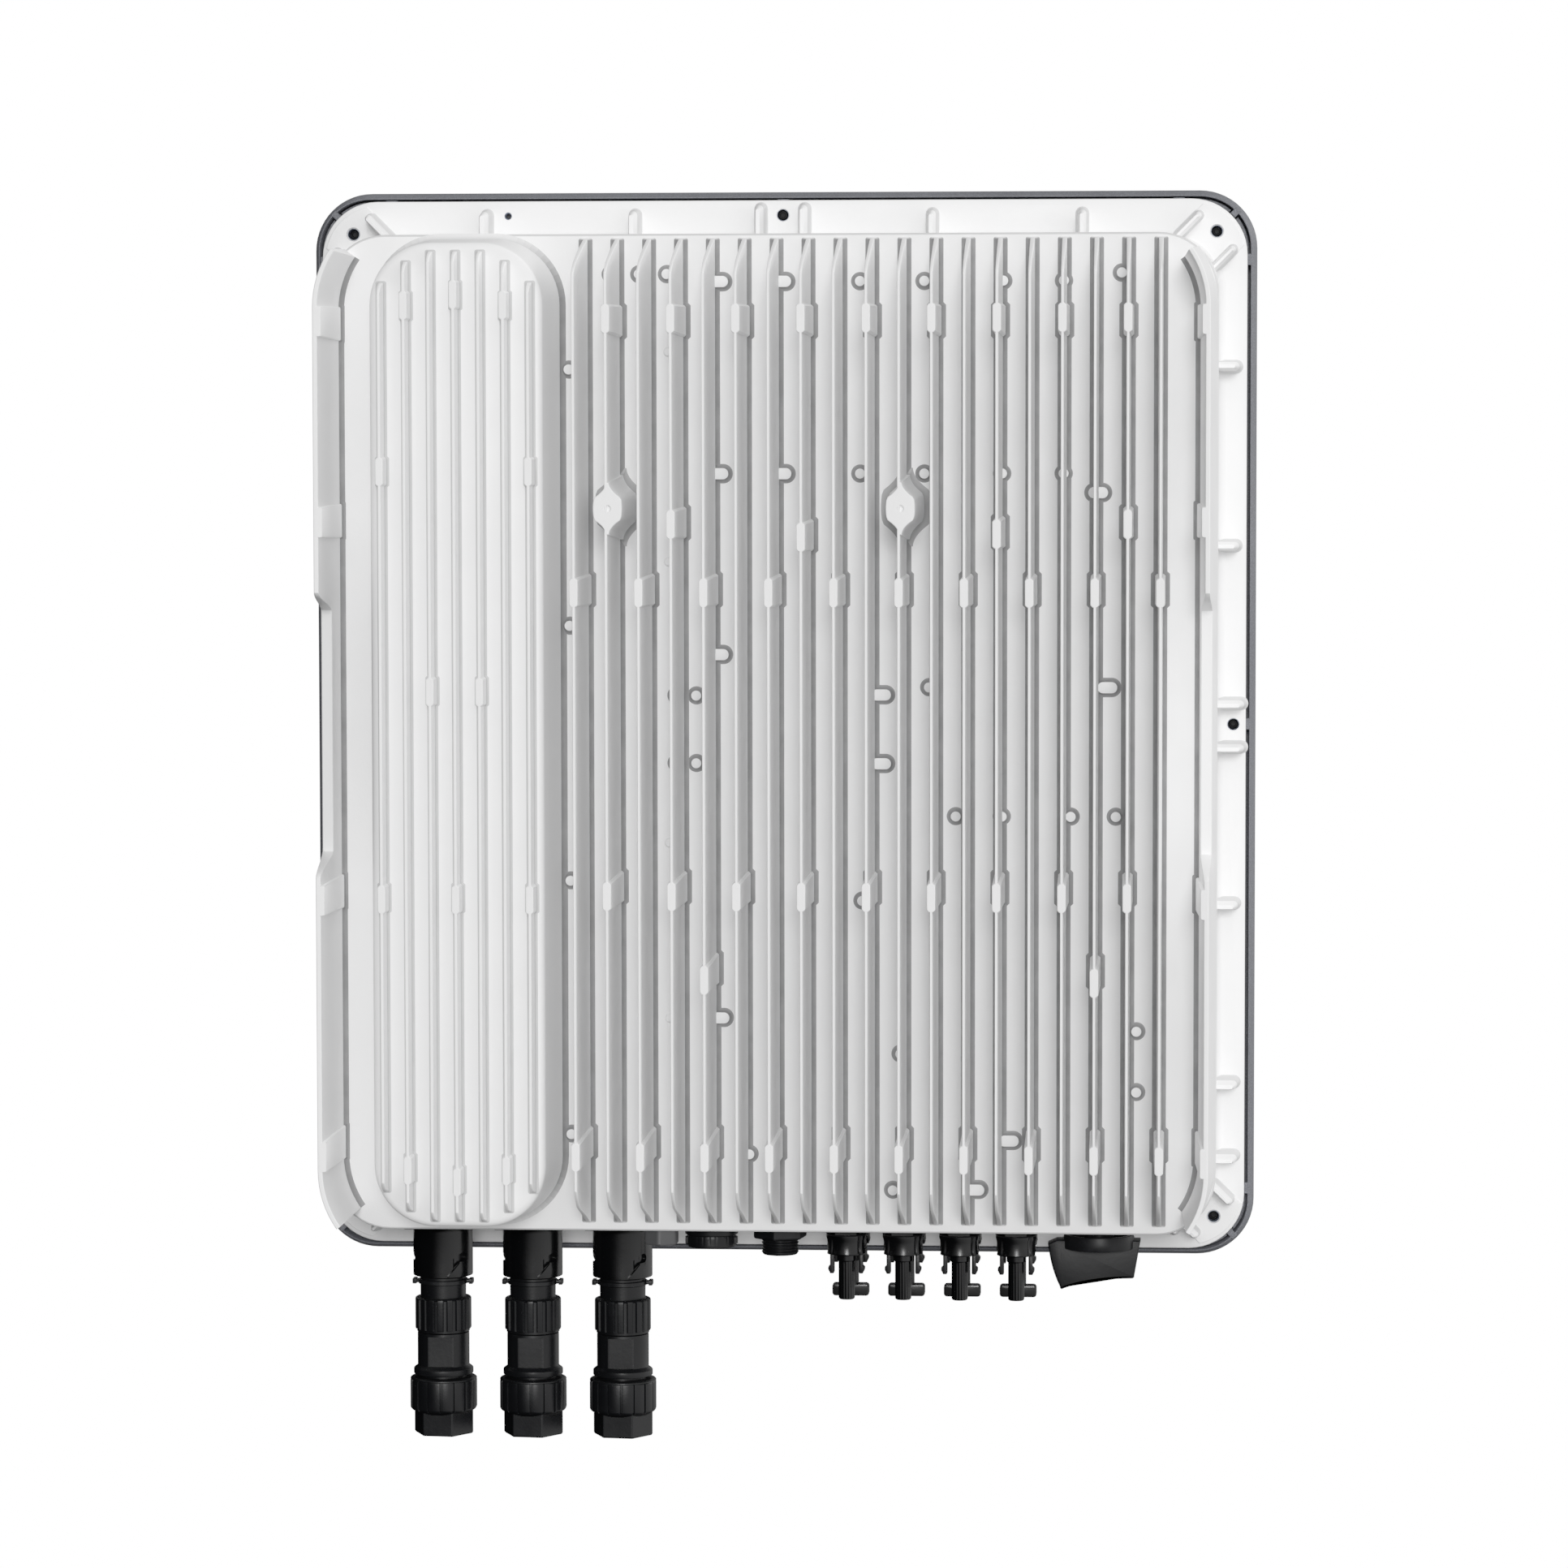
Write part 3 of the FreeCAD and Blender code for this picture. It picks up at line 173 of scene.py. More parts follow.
def cut(mesh, cutter_build):
    """Cut a mesh with the shells of a Build and return the new mesh."""
    body = bpy.data.objects.new("tmp_body", mesh)
    cutter = bpy.data.objects.new("tmp_cutter", to_mesh(cutter_build, "tmp_cutter"))
    for o in (body, cutter):
        bpy.context.scene.collection.objects.link(o)
    mod = body.modifiers.new("cut", "BOOLEAN")
    mod.operation = "DIFFERENCE"
    mod.solver = "EXACT"
    mod.use_self = True
    mod.object = cutter
    bpy.context.view_layer.update()
    graph = bpy.context.evaluated_depsgraph_get()
    out = bpy.data.meshes.new_from_object(body.evaluated_get(graph))
    for o in (body, cutter):
        data = o.data
        bpy.data.objects.remove(o)
        bpy.data.meshes.remove(data)
    return out


# ---------------------------------------------------------------- shapes
def quarter(steps, first=1):
    """Angles that climb to a right angle."""
    return [radians(90.0 * k / steps) for k in range(first, steps + 1)]


def rr_ring(x, z, half_x, half_z, r, d, n=6):
    """Rounded rectangle seen from the wall side, at depth d."""
    r = max(0.02, min(r, half_x - 0.01, half_z - 0.01))
    pts = []
    for cx, cz, start in ((1, 1, 0), (-1, 1, 90), (-1, -1, 180), (1, -1, 270)):
        for k in range(n + 1):
            a = radians(start + 90.0 * k / n)
            pts.append((x + cx * (half_x - r) + r * cos(a), -d, z + cz * (half_z - r) + r * sin(a)))
    return pts


def span_ring(x, half_x, bottom, top, r, d):
    return rr_ring(x, (top + bottom) / 2, half_x, (top - bottom) / 2, r, d, 4)


def circle_y(x, z, r, d, n=32):
    around = [2 * pi * k / n for k in range(n)]
    return [(x + r * cos(a), -d, z + r * sin(a)) for a in around]


def turn_y(build, x, z, steps, n=32, loop=False):
    """Round piece on an axis along Y, from (radius, depth) steps."""
    build.loft([circle_y(x, z, r, d, n) for r, d in steps], loop=loop)


def headed(x, z, heading, d, points):
    """Points given along and across a heading from (x, z), at depth d."""
    return [(x + u * cos(heading) - v * sin(heading), -d, z + u * sin(heading) + v * cos(heading))
            for u, v in points]


def fillet_steps(radius, count=4):
    """(sideways growth, height above the floor) of a concave root fillet."""
    return [(radius - radius * sin(a), radius - radius * cos(a)) for a in quarter(count, 0)]


def lathe(build, x, d, profile, n=64, shape=None, hollow=False):
    """Turn a (radius, z) profile about a vertical axis. shape(angle, r, z) may change r.

    A hollow profile is a closed loop, so the piece has a bore.
    """
    rings = []
    for r, z in profile:
        ring = []
        for k in range(n):
            a = 2 * pi * k / n
            reach = shape(a, r, z) if shape else r
            ring.append((x + reach * cos(a), -d + reach * sin(a), z))
        rings.append(ring)
    build.loft(rings, loop=hollow)


def soft_box(build, x0, x1, d0, d1, z0, z1, bevel):
    """Box with rounded vertical corners and bevelled top and bottom."""
    cx = (x0 + x1) / 2
    cy = -(d0 + d1) / 2
    hx = (x1 - x0) / 2
    hy = (d1 - d0) / 2
    rings = []
    for inset, z in ((bevel, z0), (bevel * 0.3, z0 + bevel * 0.3), (0, z0 + bevel),
                     (0, z1 - bevel), (bevel * 0.3, z1 - bevel * 0.3), (bevel, z1)):
        ring = []
        for sx, sy, start in ((1, 1, 0), (-1, 1, 90), (-1, -1, 180), (1, -1, 270)):
            for k in range(4):
                a = radians(start + 30.0 * k)
                px = sx * (hx - bevel) + (bevel - inset) * cos(a)
                py = sy * (hy - bevel) + (bevel - inset) * sin(a)
                ring.append((cx + px, cy + py, z))
        rings.append(ring)
    build.loft(rings)


# ------------------------------------------------------------- materials
def new_material(name):
    mat = bpy.data.materials.new(name)
    mat.use_nodes = True
    nt = mat.node_tree
    nt.nodes.clear()
    out = nt.nodes.new("ShaderNodeOutputMaterial")
    bsdf = nt.nodes.new("ShaderNodeBsdfPrincipled")
    nt.links.new(bsdf.outputs[0], out.inputs[0])
    return mat, nt, bsdf


def noise(nt, coord, scale, detail=4.0, rough=0.55):
    node = nt.nodes.new("ShaderNodeTexNoise")
    node.inputs["Scale"].default_value = scale
    node.inputs["Detail"].default_value = detail
    node.inputs["Roughness"].default_value = rough
    nt.links.new(coord, node.inputs["Vector"])
    return node.outputs["Fac"]


def ramp(nt, value, low, high, c0, c1):
    node = nt.nodes.new("ShaderNodeValToRGB")
    node.color_ramp.elements[0].position = low
    node.color_ramp.elements[1].position = high
    node.color_ramp.elements[0].color = (*c0, 1.0)
    node.color_ramp.elements[1].color = (*c1, 1.0)
    nt.links.new(value, node.inputs[0])
    return node.outputs[0]


def map_range(nt, value, a0, a1, b0, b1):
    node = nt.nodes.new("ShaderNodeMapRange")
    for socket, number in zip(node.inputs[1:5], (a0, a1, b0, b1)):
        socket.default_value = number
    nt.links.new(value, node.inputs[0])
    return node.outputs[0]


def product(nt, a, b):
    node = nt.nodes.new("ShaderNodeMath")
    node.operation = "MULTIPLY"
    nt.links.new(a, node.inputs[0])
    nt.links.new(b, node.inputs[1])
    return node.outputs[0]


def toned(nt, fac, color, other):
    """Mixes a fixed colour into a colour by a factor."""
    node = nt.nodes.new("ShaderNodeMix")
    node.data_type = "RGBA"
    nt.links.new(fac, node.inputs[0])
    nt.links.new(color, node.inputs[6])
    node.inputs[7].default_value = (*other, 1.0)
    return node.outputs[2]


def speckled(nt, color, fine, fleck):
    """Multiplies a colour by light and dark flecks."""
    node = nt.nodes.new("ShaderNodeMix")
    node.data_type = "RGBA"
    node.blend_type = "MULTIPLY"
    node.inputs[0].default_value = 1.0
    nt.links.new(color, node.inputs[6])
    nt.links.new(ramp(nt, fine, 0.46, 0.62, (1 - fleck,) * 3, (1 + fleck,) * 3), node.inputs[7])
    return node.outputs[2]


def bump(nt, bsdf, height, strength, distance, chain=None):
    node = nt.nodes.new("ShaderNodeBump")
    node.inputs["Strength"].default_value = strength
    node.inputs["Distance"].default_value = distance
    nt.links.new(height, node.inputs["Height"])
    if chain:
        nt.links.new(chain, node.inputs["Normal"])
    nt.links.new(node.outputs[0], bsdf.inputs["Normal"])
    return node.outputs[0]


def coated(name, base, alt, rough, grain, grain_depth=0.00006, peel=0.00012,
           wear=None, metallic=0.0, fleck=0.0, root=None, gloss=0.5):
    """Textured paint or moulded surface: mottled colour, fine grain, orange peel, edge wear, and, given root,
    painted shade on faces marked for it.
    """
    mat, nt, bsdf = new_material(name)
    coord = nt.nodes.new("ShaderNodeTexCoord").outputs["Object"]
    color = ramp(nt, noise(nt, coord, 14.0, 5.0), 0.3, 0.7, alt, base)
    fine = noise(nt, coord, grain, 3.0, 0.6)
    if fleck:
        color = speckled(nt, color, fine, fleck)
    if wear:
        geo = nt.nodes.new("ShaderNodeNewGeometry")
        edge = map_range(nt, geo.outputs["Pointiness"], 0.52, 0.60, 0.0, 1.0)
        gate = map_range(nt, noise(nt, coord, 160.0, 4.0), 0.45, 0.65, 0.0, 0.6)
        color = toned(nt, product(nt, edge, gate), color, wear)
    # Painted shade: faces that carry the shade attribute are darkened towards root, a little patchy.
    if root:
        where = nt.nodes.new("ShaderNodeAttribute")
        where.attribute_name = "painted_root_shade"
        patchy = map_range(nt, noise(nt, coord, 60.0, 3.0), 0.35, 0.65, 0.92, 1.0)
        color = toned(nt, product(nt, where.outputs["Fac"], patchy), color, root)
    nt.links.new(color, bsdf.inputs["Base Color"])
    worn = noise(nt, coord, 40.0, 4.0)
    nt.links.new(map_range(nt, worn, 0.3, 0.7, rough[0], rough[1]), bsdf.inputs["Roughness"])
    bsdf.inputs["Metallic"].default_value = metallic
    bsdf.inputs["Specular IOR Level"].default_value = gloss
    first = bump(nt, bsdf, noise(nt, coord, grain * 0.28, 2.0, 0.5), 0.5, peel)
    bump(nt, bsdf, fine, 0.6, grain_depth, first)
    return mat


def smoked_window():
    """Dark polycarbonate lens over the display."""
    mat, nt, bsdf = new_material("smoked_window")
    coord = nt.nodes.new("ShaderNodeTexCoord").outputs["Object"]
    haze = ramp(nt, noise(nt, coord, 30.0), 0.3, 0.7, (0.006, 0.007, 0.009), (0.011, 0.012, 0.015))
    nt.links.new(haze, bsdf.inputs["Base Color"])
    nt.links.new(map_range(nt, noise(nt, coord, 90.0, 3.0), 0.3, 0.7, 0.06, 0.16), bsdf.inputs["Roughness"])
    bsdf.inputs["Coat Weight"].default_value = 0.6
    bsdf.inputs["Coat Roughness"].default_value = 0.05
    bump(nt, bsdf, noise(nt, coord, 60.0, 2.0), 0.1, 0.00005)
    return mat


# root is the colour of the painted shade in the root fillets, land sides, rib feet and rear edge rounding.
CASTING = coated("powder_coat_light_grey", (0.95, 0.95, 0.95), (0.93, 0.93, 0.932), (0.45, 0.62), 1300.0,
                 grain_depth=0.00010, peel=0.00016, wear=(0.96, 0.96, 0.96), root=(0.19, 0.19, 0.192))
COVER_PAINT = coated("cover_blue_grey", (0.120, 0.125, 0.144), (0.098, 0.102, 0.119), (0.45, 0.65), 1500.0,
                     grain_depth=0.00016, peel=0.00016, fleck=0.35, gloss=0.32)
NYLON = coated("black_nylon", (0.0015, 0.0016, 0.0020), (0.0011, 0.0012, 0.0015), (0.30, 0.42), 1700.0,
               peel=0.00008, wear=(0.008, 0.0085, 0.0095), gloss=0.13)
GLOSS_NYLON = coated("gloss_nylon", (0.0006, 0.00065, 0.0008), (0.00045, 0.0005, 0.0006), (0.16, 0.26),
                     1700.0, grain_depth=0.00003, peel=0.00006, gloss=0.18)
CHARCOAL = coated("charcoal_knob", (0.0026, 0.0027, 0.0031), (0.0020, 0.0021, 0.0024), (0.34, 0.46), 1500.0,
                  grain_depth=0.00005, peel=0.00008, wear=(0.012, 0.012, 0.014), gloss=0.09)
VENT_GREY = coated("vent_grey", (0.036, 0.0365, 0.038), (0.030, 0.0305, 0.032), (0.5, 0.65), 1500.0,
                   grain_depth=0.00005, peel=0.00006)
RUBBER = coated("seal_rubber", (0.010, 0.010, 0.011), (0.015, 0.015, 0.016), (0.7, 0.85), 900.0,
                grain_depth=0.00005, peel=0.00006)
STEEL = coated("zinc_screw", (0.50, 0.55, 0.64), (0.42, 0.46, 0.55), (0.25, 0.42), 1200.0,
               grain_depth=0.00003, peel=0.00002, metallic=1.0)
# Black-oxide screws, made near black so that they also stand for the painted shade at the bottom of the screw
# holes.
DARK_STEEL = coated("oxide_screw_hole_shade", (0.0012, 0.0013, 0.0015), (0.0009, 0.0009, 0.0011), (0.5, 0.7), 1200.0,
                    grain_depth=0.00003, peel=0.00002, gloss=0.08)
BOARD = coated("solder_mask", (0.02, 0.13, 0.05), (0.016, 0.10, 0.04), (0.3, 0.45), 400.0)
FERRITE = coated("powder_core", (0.05, 0.05, 0.053), (0.035, 0.035, 0.038), (0.6, 0.8), 700.0)
COPPER = coated("enamelled_copper", (0.60, 0.22, 0.08), (0.48, 0.16, 0.06), (0.25, 0.4), 500.0, metallic=1.0)
PAD = coated("silicone_pad", (0.30, 0.31, 0.34), (0.26, 0.27, 0.30), (0.7, 0.85), 600.0)
MOULDED = coated("moulded_black", (0.022, 0.022, 0.025), (0.016, 0.016, 0.018), (0.45, 0.6), 900.0)
CAN = coated("sleeved_can", (0.02, 0.021, 0.035), (0.016, 0.017, 0.028), (0.2, 0.35), 300.0)
FILM = coated("film_box", (0.36, 0.31, 0.03), (0.30, 0.26, 0.03), (0.4, 0.55), 500.0)
TRAY = coated("bright_steel", (0.58, 0.59, 0.60), (0.50, 0.51, 0.52), (0.28, 0.42), 500.0, metallic=1.0)
CONTACT = coated("silver_plate", (0.62, 0.58, 0.48), (0.52, 0.48, 0.40), (0.2, 0.35), 700.0, metallic=1.0)
RELAY = coated("relay_blue", (0.012, 0.028, 0.12), (0.010, 0.022, 0.10), (0.35, 0.5), 700.0)
WINDOW = smoked_window()

INNER_LOOKS = {
    "display_panel": BOARD, "choke_cores": FERRITE, "choke_windings": COPPER, "choke_carrier": MOULDED,
    "thermal_pads": PAD, "power_modules": MOULDED, "power_board": BOARD, "power_board_posts": STEEL,
    "dc_link_capacitors": CAN, "film_capacitors": FILM, "emi_chokes": FERRITE, "ac_relays": RELAY,
    "shield_tray": TRAY, "tray_posts": STEEL, "control_board": BOARD, "control_spacers": STEEL,
    "control_chips": MOULDED, "dc_switch_body": MOULDED, "dc_switch_shaft": STEEL, "dc_switch_seal": RUBBER,
    "ac_lock_nuts": NYLON, "ac_contact_pins": CONTACT, "ac_gland_seals": RUBBER, "pv_lock_nuts": NYLON,
    "display_window": WINDOW, "screw_caps": RUBBER, "cover_gasket": RUBBER,
}
for inner_name, look in INNER_LOOKS.items():
    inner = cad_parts[inner_name]
    inner.data.materials.clear()
    inner.data.materials.append(look)


# --------------------------------------------------------- rear casting
FIN_PITCH = 300.0 / 18
FIN_FIRST_X = 92.6
FIN_COUNT = 19
FIN_TIP_HALF = 0.68
FIN_ROOT_HALF = 1.25
FIN_ROOT_DEPTH = 64.8
FIN_FILLET = 2.4
FIN_TOP = 139.6
FIN_BOTTOM = -376.6
# (depth, top, bottom) of a fin's end profile, from its root outwards
FIN_ENDS = ((60.0, 138.5, -375.4), (43.0, 134.8, -370.3), (12.0, 126.3, -361.6), (4.0, 122.8, -356.0),
            (0.35, 120.8, -352.2), (0.0, 120.4, -351.8))


def fin_x(i):
    return FIN_FIRST_X - FIN_PITCH * i


def main_fin(build, i):
    x = fin_x(i)
    rings = [span_ring(x, FIN_ROOT_HALF + FIN_FILLET, FIN_BOTTOM - 0.9, FIN_TOP + 0.9, 1.2, FIN_BASE + 0.6)]
    for grow, rise in fillet_steps(FIN_FILLET):
        rings.append(span_ring(x, FIN_ROOT_HALF + grow, FIN_BOTTOM - 0.3 * grow, FIN_TOP + 0.3 * grow,
                               0.7 + 0.2 * grow, FIN_BASE - rise))
    for depth, top, bottom in FIN_ENDS:
        half = FIN_TIP_HALF + (FIN_ROOT_HALF - FIN_TIP_HALF) * depth / FIN_ROOT_DEPTH
        half -= 0.25 if depth == 0.0 else 0.0
        rings.append(span_ring(x, half, bottom, top, 0.35, depth))
    # Painted shade on the root fillet, full on its upright sides and weak on the level ends.
    build.loft(rings, roots=5, facing=True)


def column(build, x, z, tip_x, tip_z, root_x, root_z, foot, flare=2.3, painted_shade=1.0):
    """Drafted octagonal column with a filleted foot and a bevelled tip."""
    def ring(hx, hz, d, bevel):
        outline = ((hx, -hz + bevel), (hx, hz - bevel), (hx - bevel, hz), (-hx + bevel, hz),
                   (-hx, hz - bevel), (-hx, -hz + bevel), (-hx + bevel, -hz), (hx - bevel, -hz))
        return [(x + px, -d, z + pz) for px, pz in outline]

    rings = [ring(root_x + flare, root_z + 0.5 * flare, foot + 0.6, 1.3)]
    for grow, rise in fillet_steps(flare):
        rings.append(ring(root_x + grow, root_z + 0.5 * grow, foot - rise, 1.0 + 0.1 * grow))
    bevel = 0.5 * tip_x
    rings.append(ring(tip_x + 0.05, tip_z + 0.1, 1.0, bevel))
    rings.append(ring(tip_x - 0.03, tip_z, 0.2, bevel))
    rings.append(ring(tip_x - 0.25, tip_z - 0.2, -0.02, bevel))
    # Painted shade on the foot fillet.
    build.loft(rings, roots=5, painted_shade=painted_shade)


def main_columns(build):
    """Four staggered rows of columns on every second fin, and six odd ones."""
    spots = [(i, z) for first, z in ((1, 97.0), (0, -43.0), (1, -199.0), (0, -334.0))
             for i in range(first, FIN_COUNT, 2)]
    spots += [(3, -8.0), (7, -14.5), (13, -13.0), (17, -8.0), (4, -242.0), (16, -242.5)]
    for i, z in spots:
        column(build, fin_x(i), z, 2.15, 7.3, 2.7, 8.3, FIN_BASE)


def boss_outline(x, half_x, half_z, thin, d):
    """Round column whose concave shoulders run out into the fin above and below."""
    shoulder = 0.42
    pts = []
    for k in range(48):
        a = 2 * pi * (k + 0.5) / 48
        t = sin(a)
        u = abs(t)
        if u < shoulder:
            belly = sqrt(1 - (u / 1.05) ** 2)
        else:
            belly = 0.9165 * (1 - (u - shoulder) / (1 - shoulder)) ** 1.9
        w = thin + (half_x - thin) * belly
        pts.append((x + (w if cos(a) > 0 else -w), -d, half_z * t))
    return pts


def hanging_boss(build, x):
    steps = [(FIN_BASE + 0.6, 13.4, 21.0, 3.6)]
    for grow, rise in fillet_steps(4.0):
        steps.append((FIN_BASE - rise, 9.2 + grow, 16.5 + grow, 1.9 + 0.4 * grow))
    steps += [(30.0, 8.2, 14.8, 1.2), (2.0, 7.5, 13.4, 0.75), (0.3, 7.4, 13.3, 0.7), (-0.02, 7.15, 13.0, 0.5)]
    # Painted shade on the foot fillet.
    build.loft([boss_outline(x, hx, hz, thin, d) for d, hx, hz, thin in steps], roots=4, painted_shade=0.8)


def hanging_bosses():
    """Both bosses, each with a dimple and a small hole in its end."""
    build = Build()
    holes = Build()
    for x in (-BOSS_X, BOSS_X):
        hanging_boss(build, x)
        turn_y(holes, x, 0, ((1.2, 1.7), (1.6, 1.3), (1.65, 0.35), (1.95, 0.0), (2.4, -0.5)))
    return cut(to_mesh(build, "bosses"), holes)


POD_X = 154.3
POD_HALF_X = 44.8
POD_R = 32.0
POD_TOP = 136.6
POD_BOTTOM = -372.4
POD_FACE = 12.0
POD_EDGE_R = 3.6
POD_DRAFT = 3.4
SMALL_FIN_PITCH = 12.8


def pod(build):
    """Long rounded box over the chokes, drafted, with a filleted foot and a rounded edge."""
    mid = (POD_TOP + POD_BOTTOM) / 2
    half_z = (POD_TOP - POD_BOTTOM) / 2

    def ring(grow, r, depth):
        return rr_ring(POD_X, mid, POD_HALF_X + grow, half_z + grow, r, depth, 14)

    rings = [ring(POD_DRAFT + 3.0, POD_R + 5.4, FIN_BASE + 0.6)]
    for grow, rise in fillet_steps(3.0):
        rings.append(ring(POD_DRAFT + grow, POD_R + 2.4 + grow, FIN_BASE - rise))
    rings.append(ring(0.0, POD_R, POD_FACE + POD_EDGE_R))
    for a in quarter(5):
        inset = POD_EDGE_R * (1 - cos(a))
        rings.append(ring(-inset, POD_R - inset, POD_FACE + POD_EDGE_R * (1 - sin(a))))
    # Painted shade on the foot fillet, full on its upright sides and weak on the level ends.
    build.loft(rings, roots=5, facing=True)


def small_fin_x(j):
    return POD_X - 0.1 - SMALL_FIN_PITCH * (j - 3)


def small_fins(build):
    """Seven low fins on the pod, the outer ones shorter, with columns of their own."""
    drops = (0.0, 0.0, 5.3, 16.0)
    for j in range(7):
        x = small_fin_x(j)
        drop = drops[abs(j - 3)]
        top = 131.5 - drop
        bottom = -368.6 + drop * 0.95
        rings = [span_ring(x, 2.8, bottom - 1.4, top + 1.4, 1.2, POD_FACE + 0.5)]
        for grow, rise in fillet_steps(1.5):
            longer = 0.4 + 0.6 * grow
            rings.append(span_ring(x, 1.3 + grow, bottom - longer, top + longer, 0.7 + grow * 0.3,
                                   POD_FACE - rise))
        for half, shorter, r, depth in ((1.0, 1.5, 0.7, 4.0), (0.75, 5.0, 0.5, 0.3), (0.45, 5.4, 0.3, 0.0)):
            rings.append(span_ring(x, half, bottom + shorter, top - shorter, r, depth))
        # Half-strength painted shade on the root fillet.
        build.loft(rings, roots=5, painted_shade=0.5)
    spots = ((1, 104), (5, 104), (3, 109.5), (0, 19), (6, 19), (2, -94), (4, -94),
             (0, -201), (3, -201), (6, -201), (1, -341.5), (5, -341.5), (3, -347.5))
    # Their columns carry half-strength painted shade too.
    for j, z in spots:
        column(build, small_fin_x(j), z, 1.95, 7.2, 2.4, 7.5, POD_FACE, flare=1.3, painted_shade=0.5)


RAIL_HALF_X = 228.5
RAIL_STRAIGHT = 222.5
RAIL_TIP_R = 51.0
RAIL_TURN = 35.0
GRIP_TOP = -43.0
GRIP_BOTTOM = -190.0
GRIP_DEPTH = 46.0
GRIP_SLOPE = 11.0


def rail_tip_depth(z):
    """Depth of the rail's crest at a height, so that the grip notch is part of the sweep."""
    inside = min(GRIP_TOP - z, z - GRIP_BOTTOM)
    if inside <= 0:
        return 0.0
    t = min(1.0, inside / GRIP_SLOPE)
    return GRIP_DEPTH * (t * t * (3 - 2 * t))


def rail_stations():
    """(x, z, heading) along a rail, from its lower end, with more of them at the notch's ends."""
    arc = []
    for k in range(1, 9):
        a = radians(RAIL_TURN * k / 8)
        arc.append((RAIL_HALF_X - RAIL_TIP_R + RAIL_TIP_R * cos(a), RAIL_TIP_R * sin(a), a))
    heights = [BODY_Z - RAIL_STRAIGHT, BODY_Z + RAIL_STRAIGHT]
    for s in (0.0, 0.08, 0.2, 0.32, 0.44, 0.56, 0.68, 0.8, 0.9, 1.0):
        heights += [GRIP_BOTTOM + 13.0 * s, GRIP_TOP - 13.0 * s]
    stations = [(x, BODY_Z - RAIL_STRAIGHT - rise, -a) for x, rise, a in reversed(arc)]
    stations += [(RAIL_HALF_X, z, 0.0) for z in sorted(heights)]
    return stations + [(x, BODY_Z + RAIL_STRAIGHT + rise, a) for x, rise, a in arc]


def side_rail(build, side):
    """Swept wall that closes the fin field, with ends that follow the case corners."""
    root = -4.4 if side < 0 else -2.2
    crest_in = -2.2 if side < 0 else -0.5
    rings = []
    for x, z, a in rail_stations():
        crest = rail_tip_depth(z)
        share = crest / FIN_BASE
        inner = crest_in + (root + 2.2) * share
        outer = inner + 2.4 + 4.8 * share
        section = [(outer - 0.35, crest), (outer, crest + 0.35)]
        section += [(4.8, FIN_BASE), (4.8, FIN_BASE + 1.0), (root - 3.0, FIN_BASE + 1.0)]
        section += [(root - grow, FIN_BASE - rise) for grow, rise in fillet_steps(2.6)]
        section += [(inner, crest + 0.35), (inner + 0.35, crest)]
        rings.append([(BODY_X + side * (x + off * cos(a)), -d, z + off * sin(a)) for off, d in section])
    # Painted shade on the inner root fillet.
    build.loft(rings, root_sides=(4, 5, 6, 7, 8))
    slim = 0.0 if side < 0 else 1.4
    for z in (96.0, -7.0, -202.0, -335.0):
        rings = []
        for hx, hz, d in ((5.8, 10.2, FIN_BASE + 0.6), (5.8, 10.2, FIN_BASE), (4.6, 9.4, FIN_BASE - 0.5),
                          (3.9, 8.9, FIN_BASE - 2.4), (2.0, 7.8, 0.5), (1.7, 7.5, -0.04)):
            hx -= slim * d / FIN_BASE
            rings.append(rr_ring(BODY_X + side * (226.4 + slim), z, hx, hz, 0.9, d, 2))
        # Painted shade on the pads' feet.
        build.loft(rings, roots=3)


def land(build, outline):
    """Low land with a concave foot and a softened edge. outline(growth, depth) gives its rings."""
    rings = [outline(1.9, FIN_BASE + 0.4)]
    rings += [outline(grow + 0.2, FIN_BASE - rise) for grow, rise in fillet_steps(1.7)]
    rings += [outline(grow, FIN_BASE - rise) for grow, rise in ((0.0, 2.3), (-0.3, 2.75), (-0.8, 2.9))]
    # Painted shade on the foot fillet and the sides of the land.
    build.loft(rings, roots=7)


def base_lands(build):
    """Round and pill-shaped lands on the base plate, and the small studs beside the pod."""
    rounds = {
        121.5: (79.5, 64.5, 50.0, -187.0),
        117.5: (-51.0, -84.5, -125.5, -157.0),
        17.5: (-51.0, -84.5, -125.0, -157.0),
        -94.0: (-87.0,),
        -98.5: (45.6, 35.0),
        -134.0: (45.6, 35.0),
        -161.5: (-101.0, -125.0, -161.0, -184.5),
        -206.0: (-52.0,),
        -274.0: (-195.5,),
        -286.5: (-72.0,),
        -306.0: (-195.5,),
        -340.0: (7.5,),
        -358.5: (-68.0,),
        72.0: (101.5,),
        -62.0: (101.5,),
        -196.0: (101.5,),
        -330.0: (101.5,),
    }
    for z, places in rounds.items():
        for x in places:
            land(build, lambda g, d: circle_y(x, z, 2.9 + g, d))
    pills = ((23, 117.5), (-10, 117.5), (23, 17.5), (-10, 17.5), (23, -77), (-62, -98), (-62, -134),
             (23, -268), (-129, -332), (-111, -358), (-175, 7.5), (-180, -94))
    for x, z in pills:
        land(build, lambda g, d: rr_ring(x, z, 5.4 + g, 3.2 + g, 3.1 + g, d, 8))
    stud = ((2.8, FIN_BASE + 0.4), (2.5, FIN_BASE - 0.1), (2.2, FIN_BASE - 1.2), (1.7, FIN_BASE - 1.6))
    for z in (81.0, -28.5, -176.0, -268.5):
        for x in (64.0, 49.5):
            turn_y(build, x, z, stud, 20)


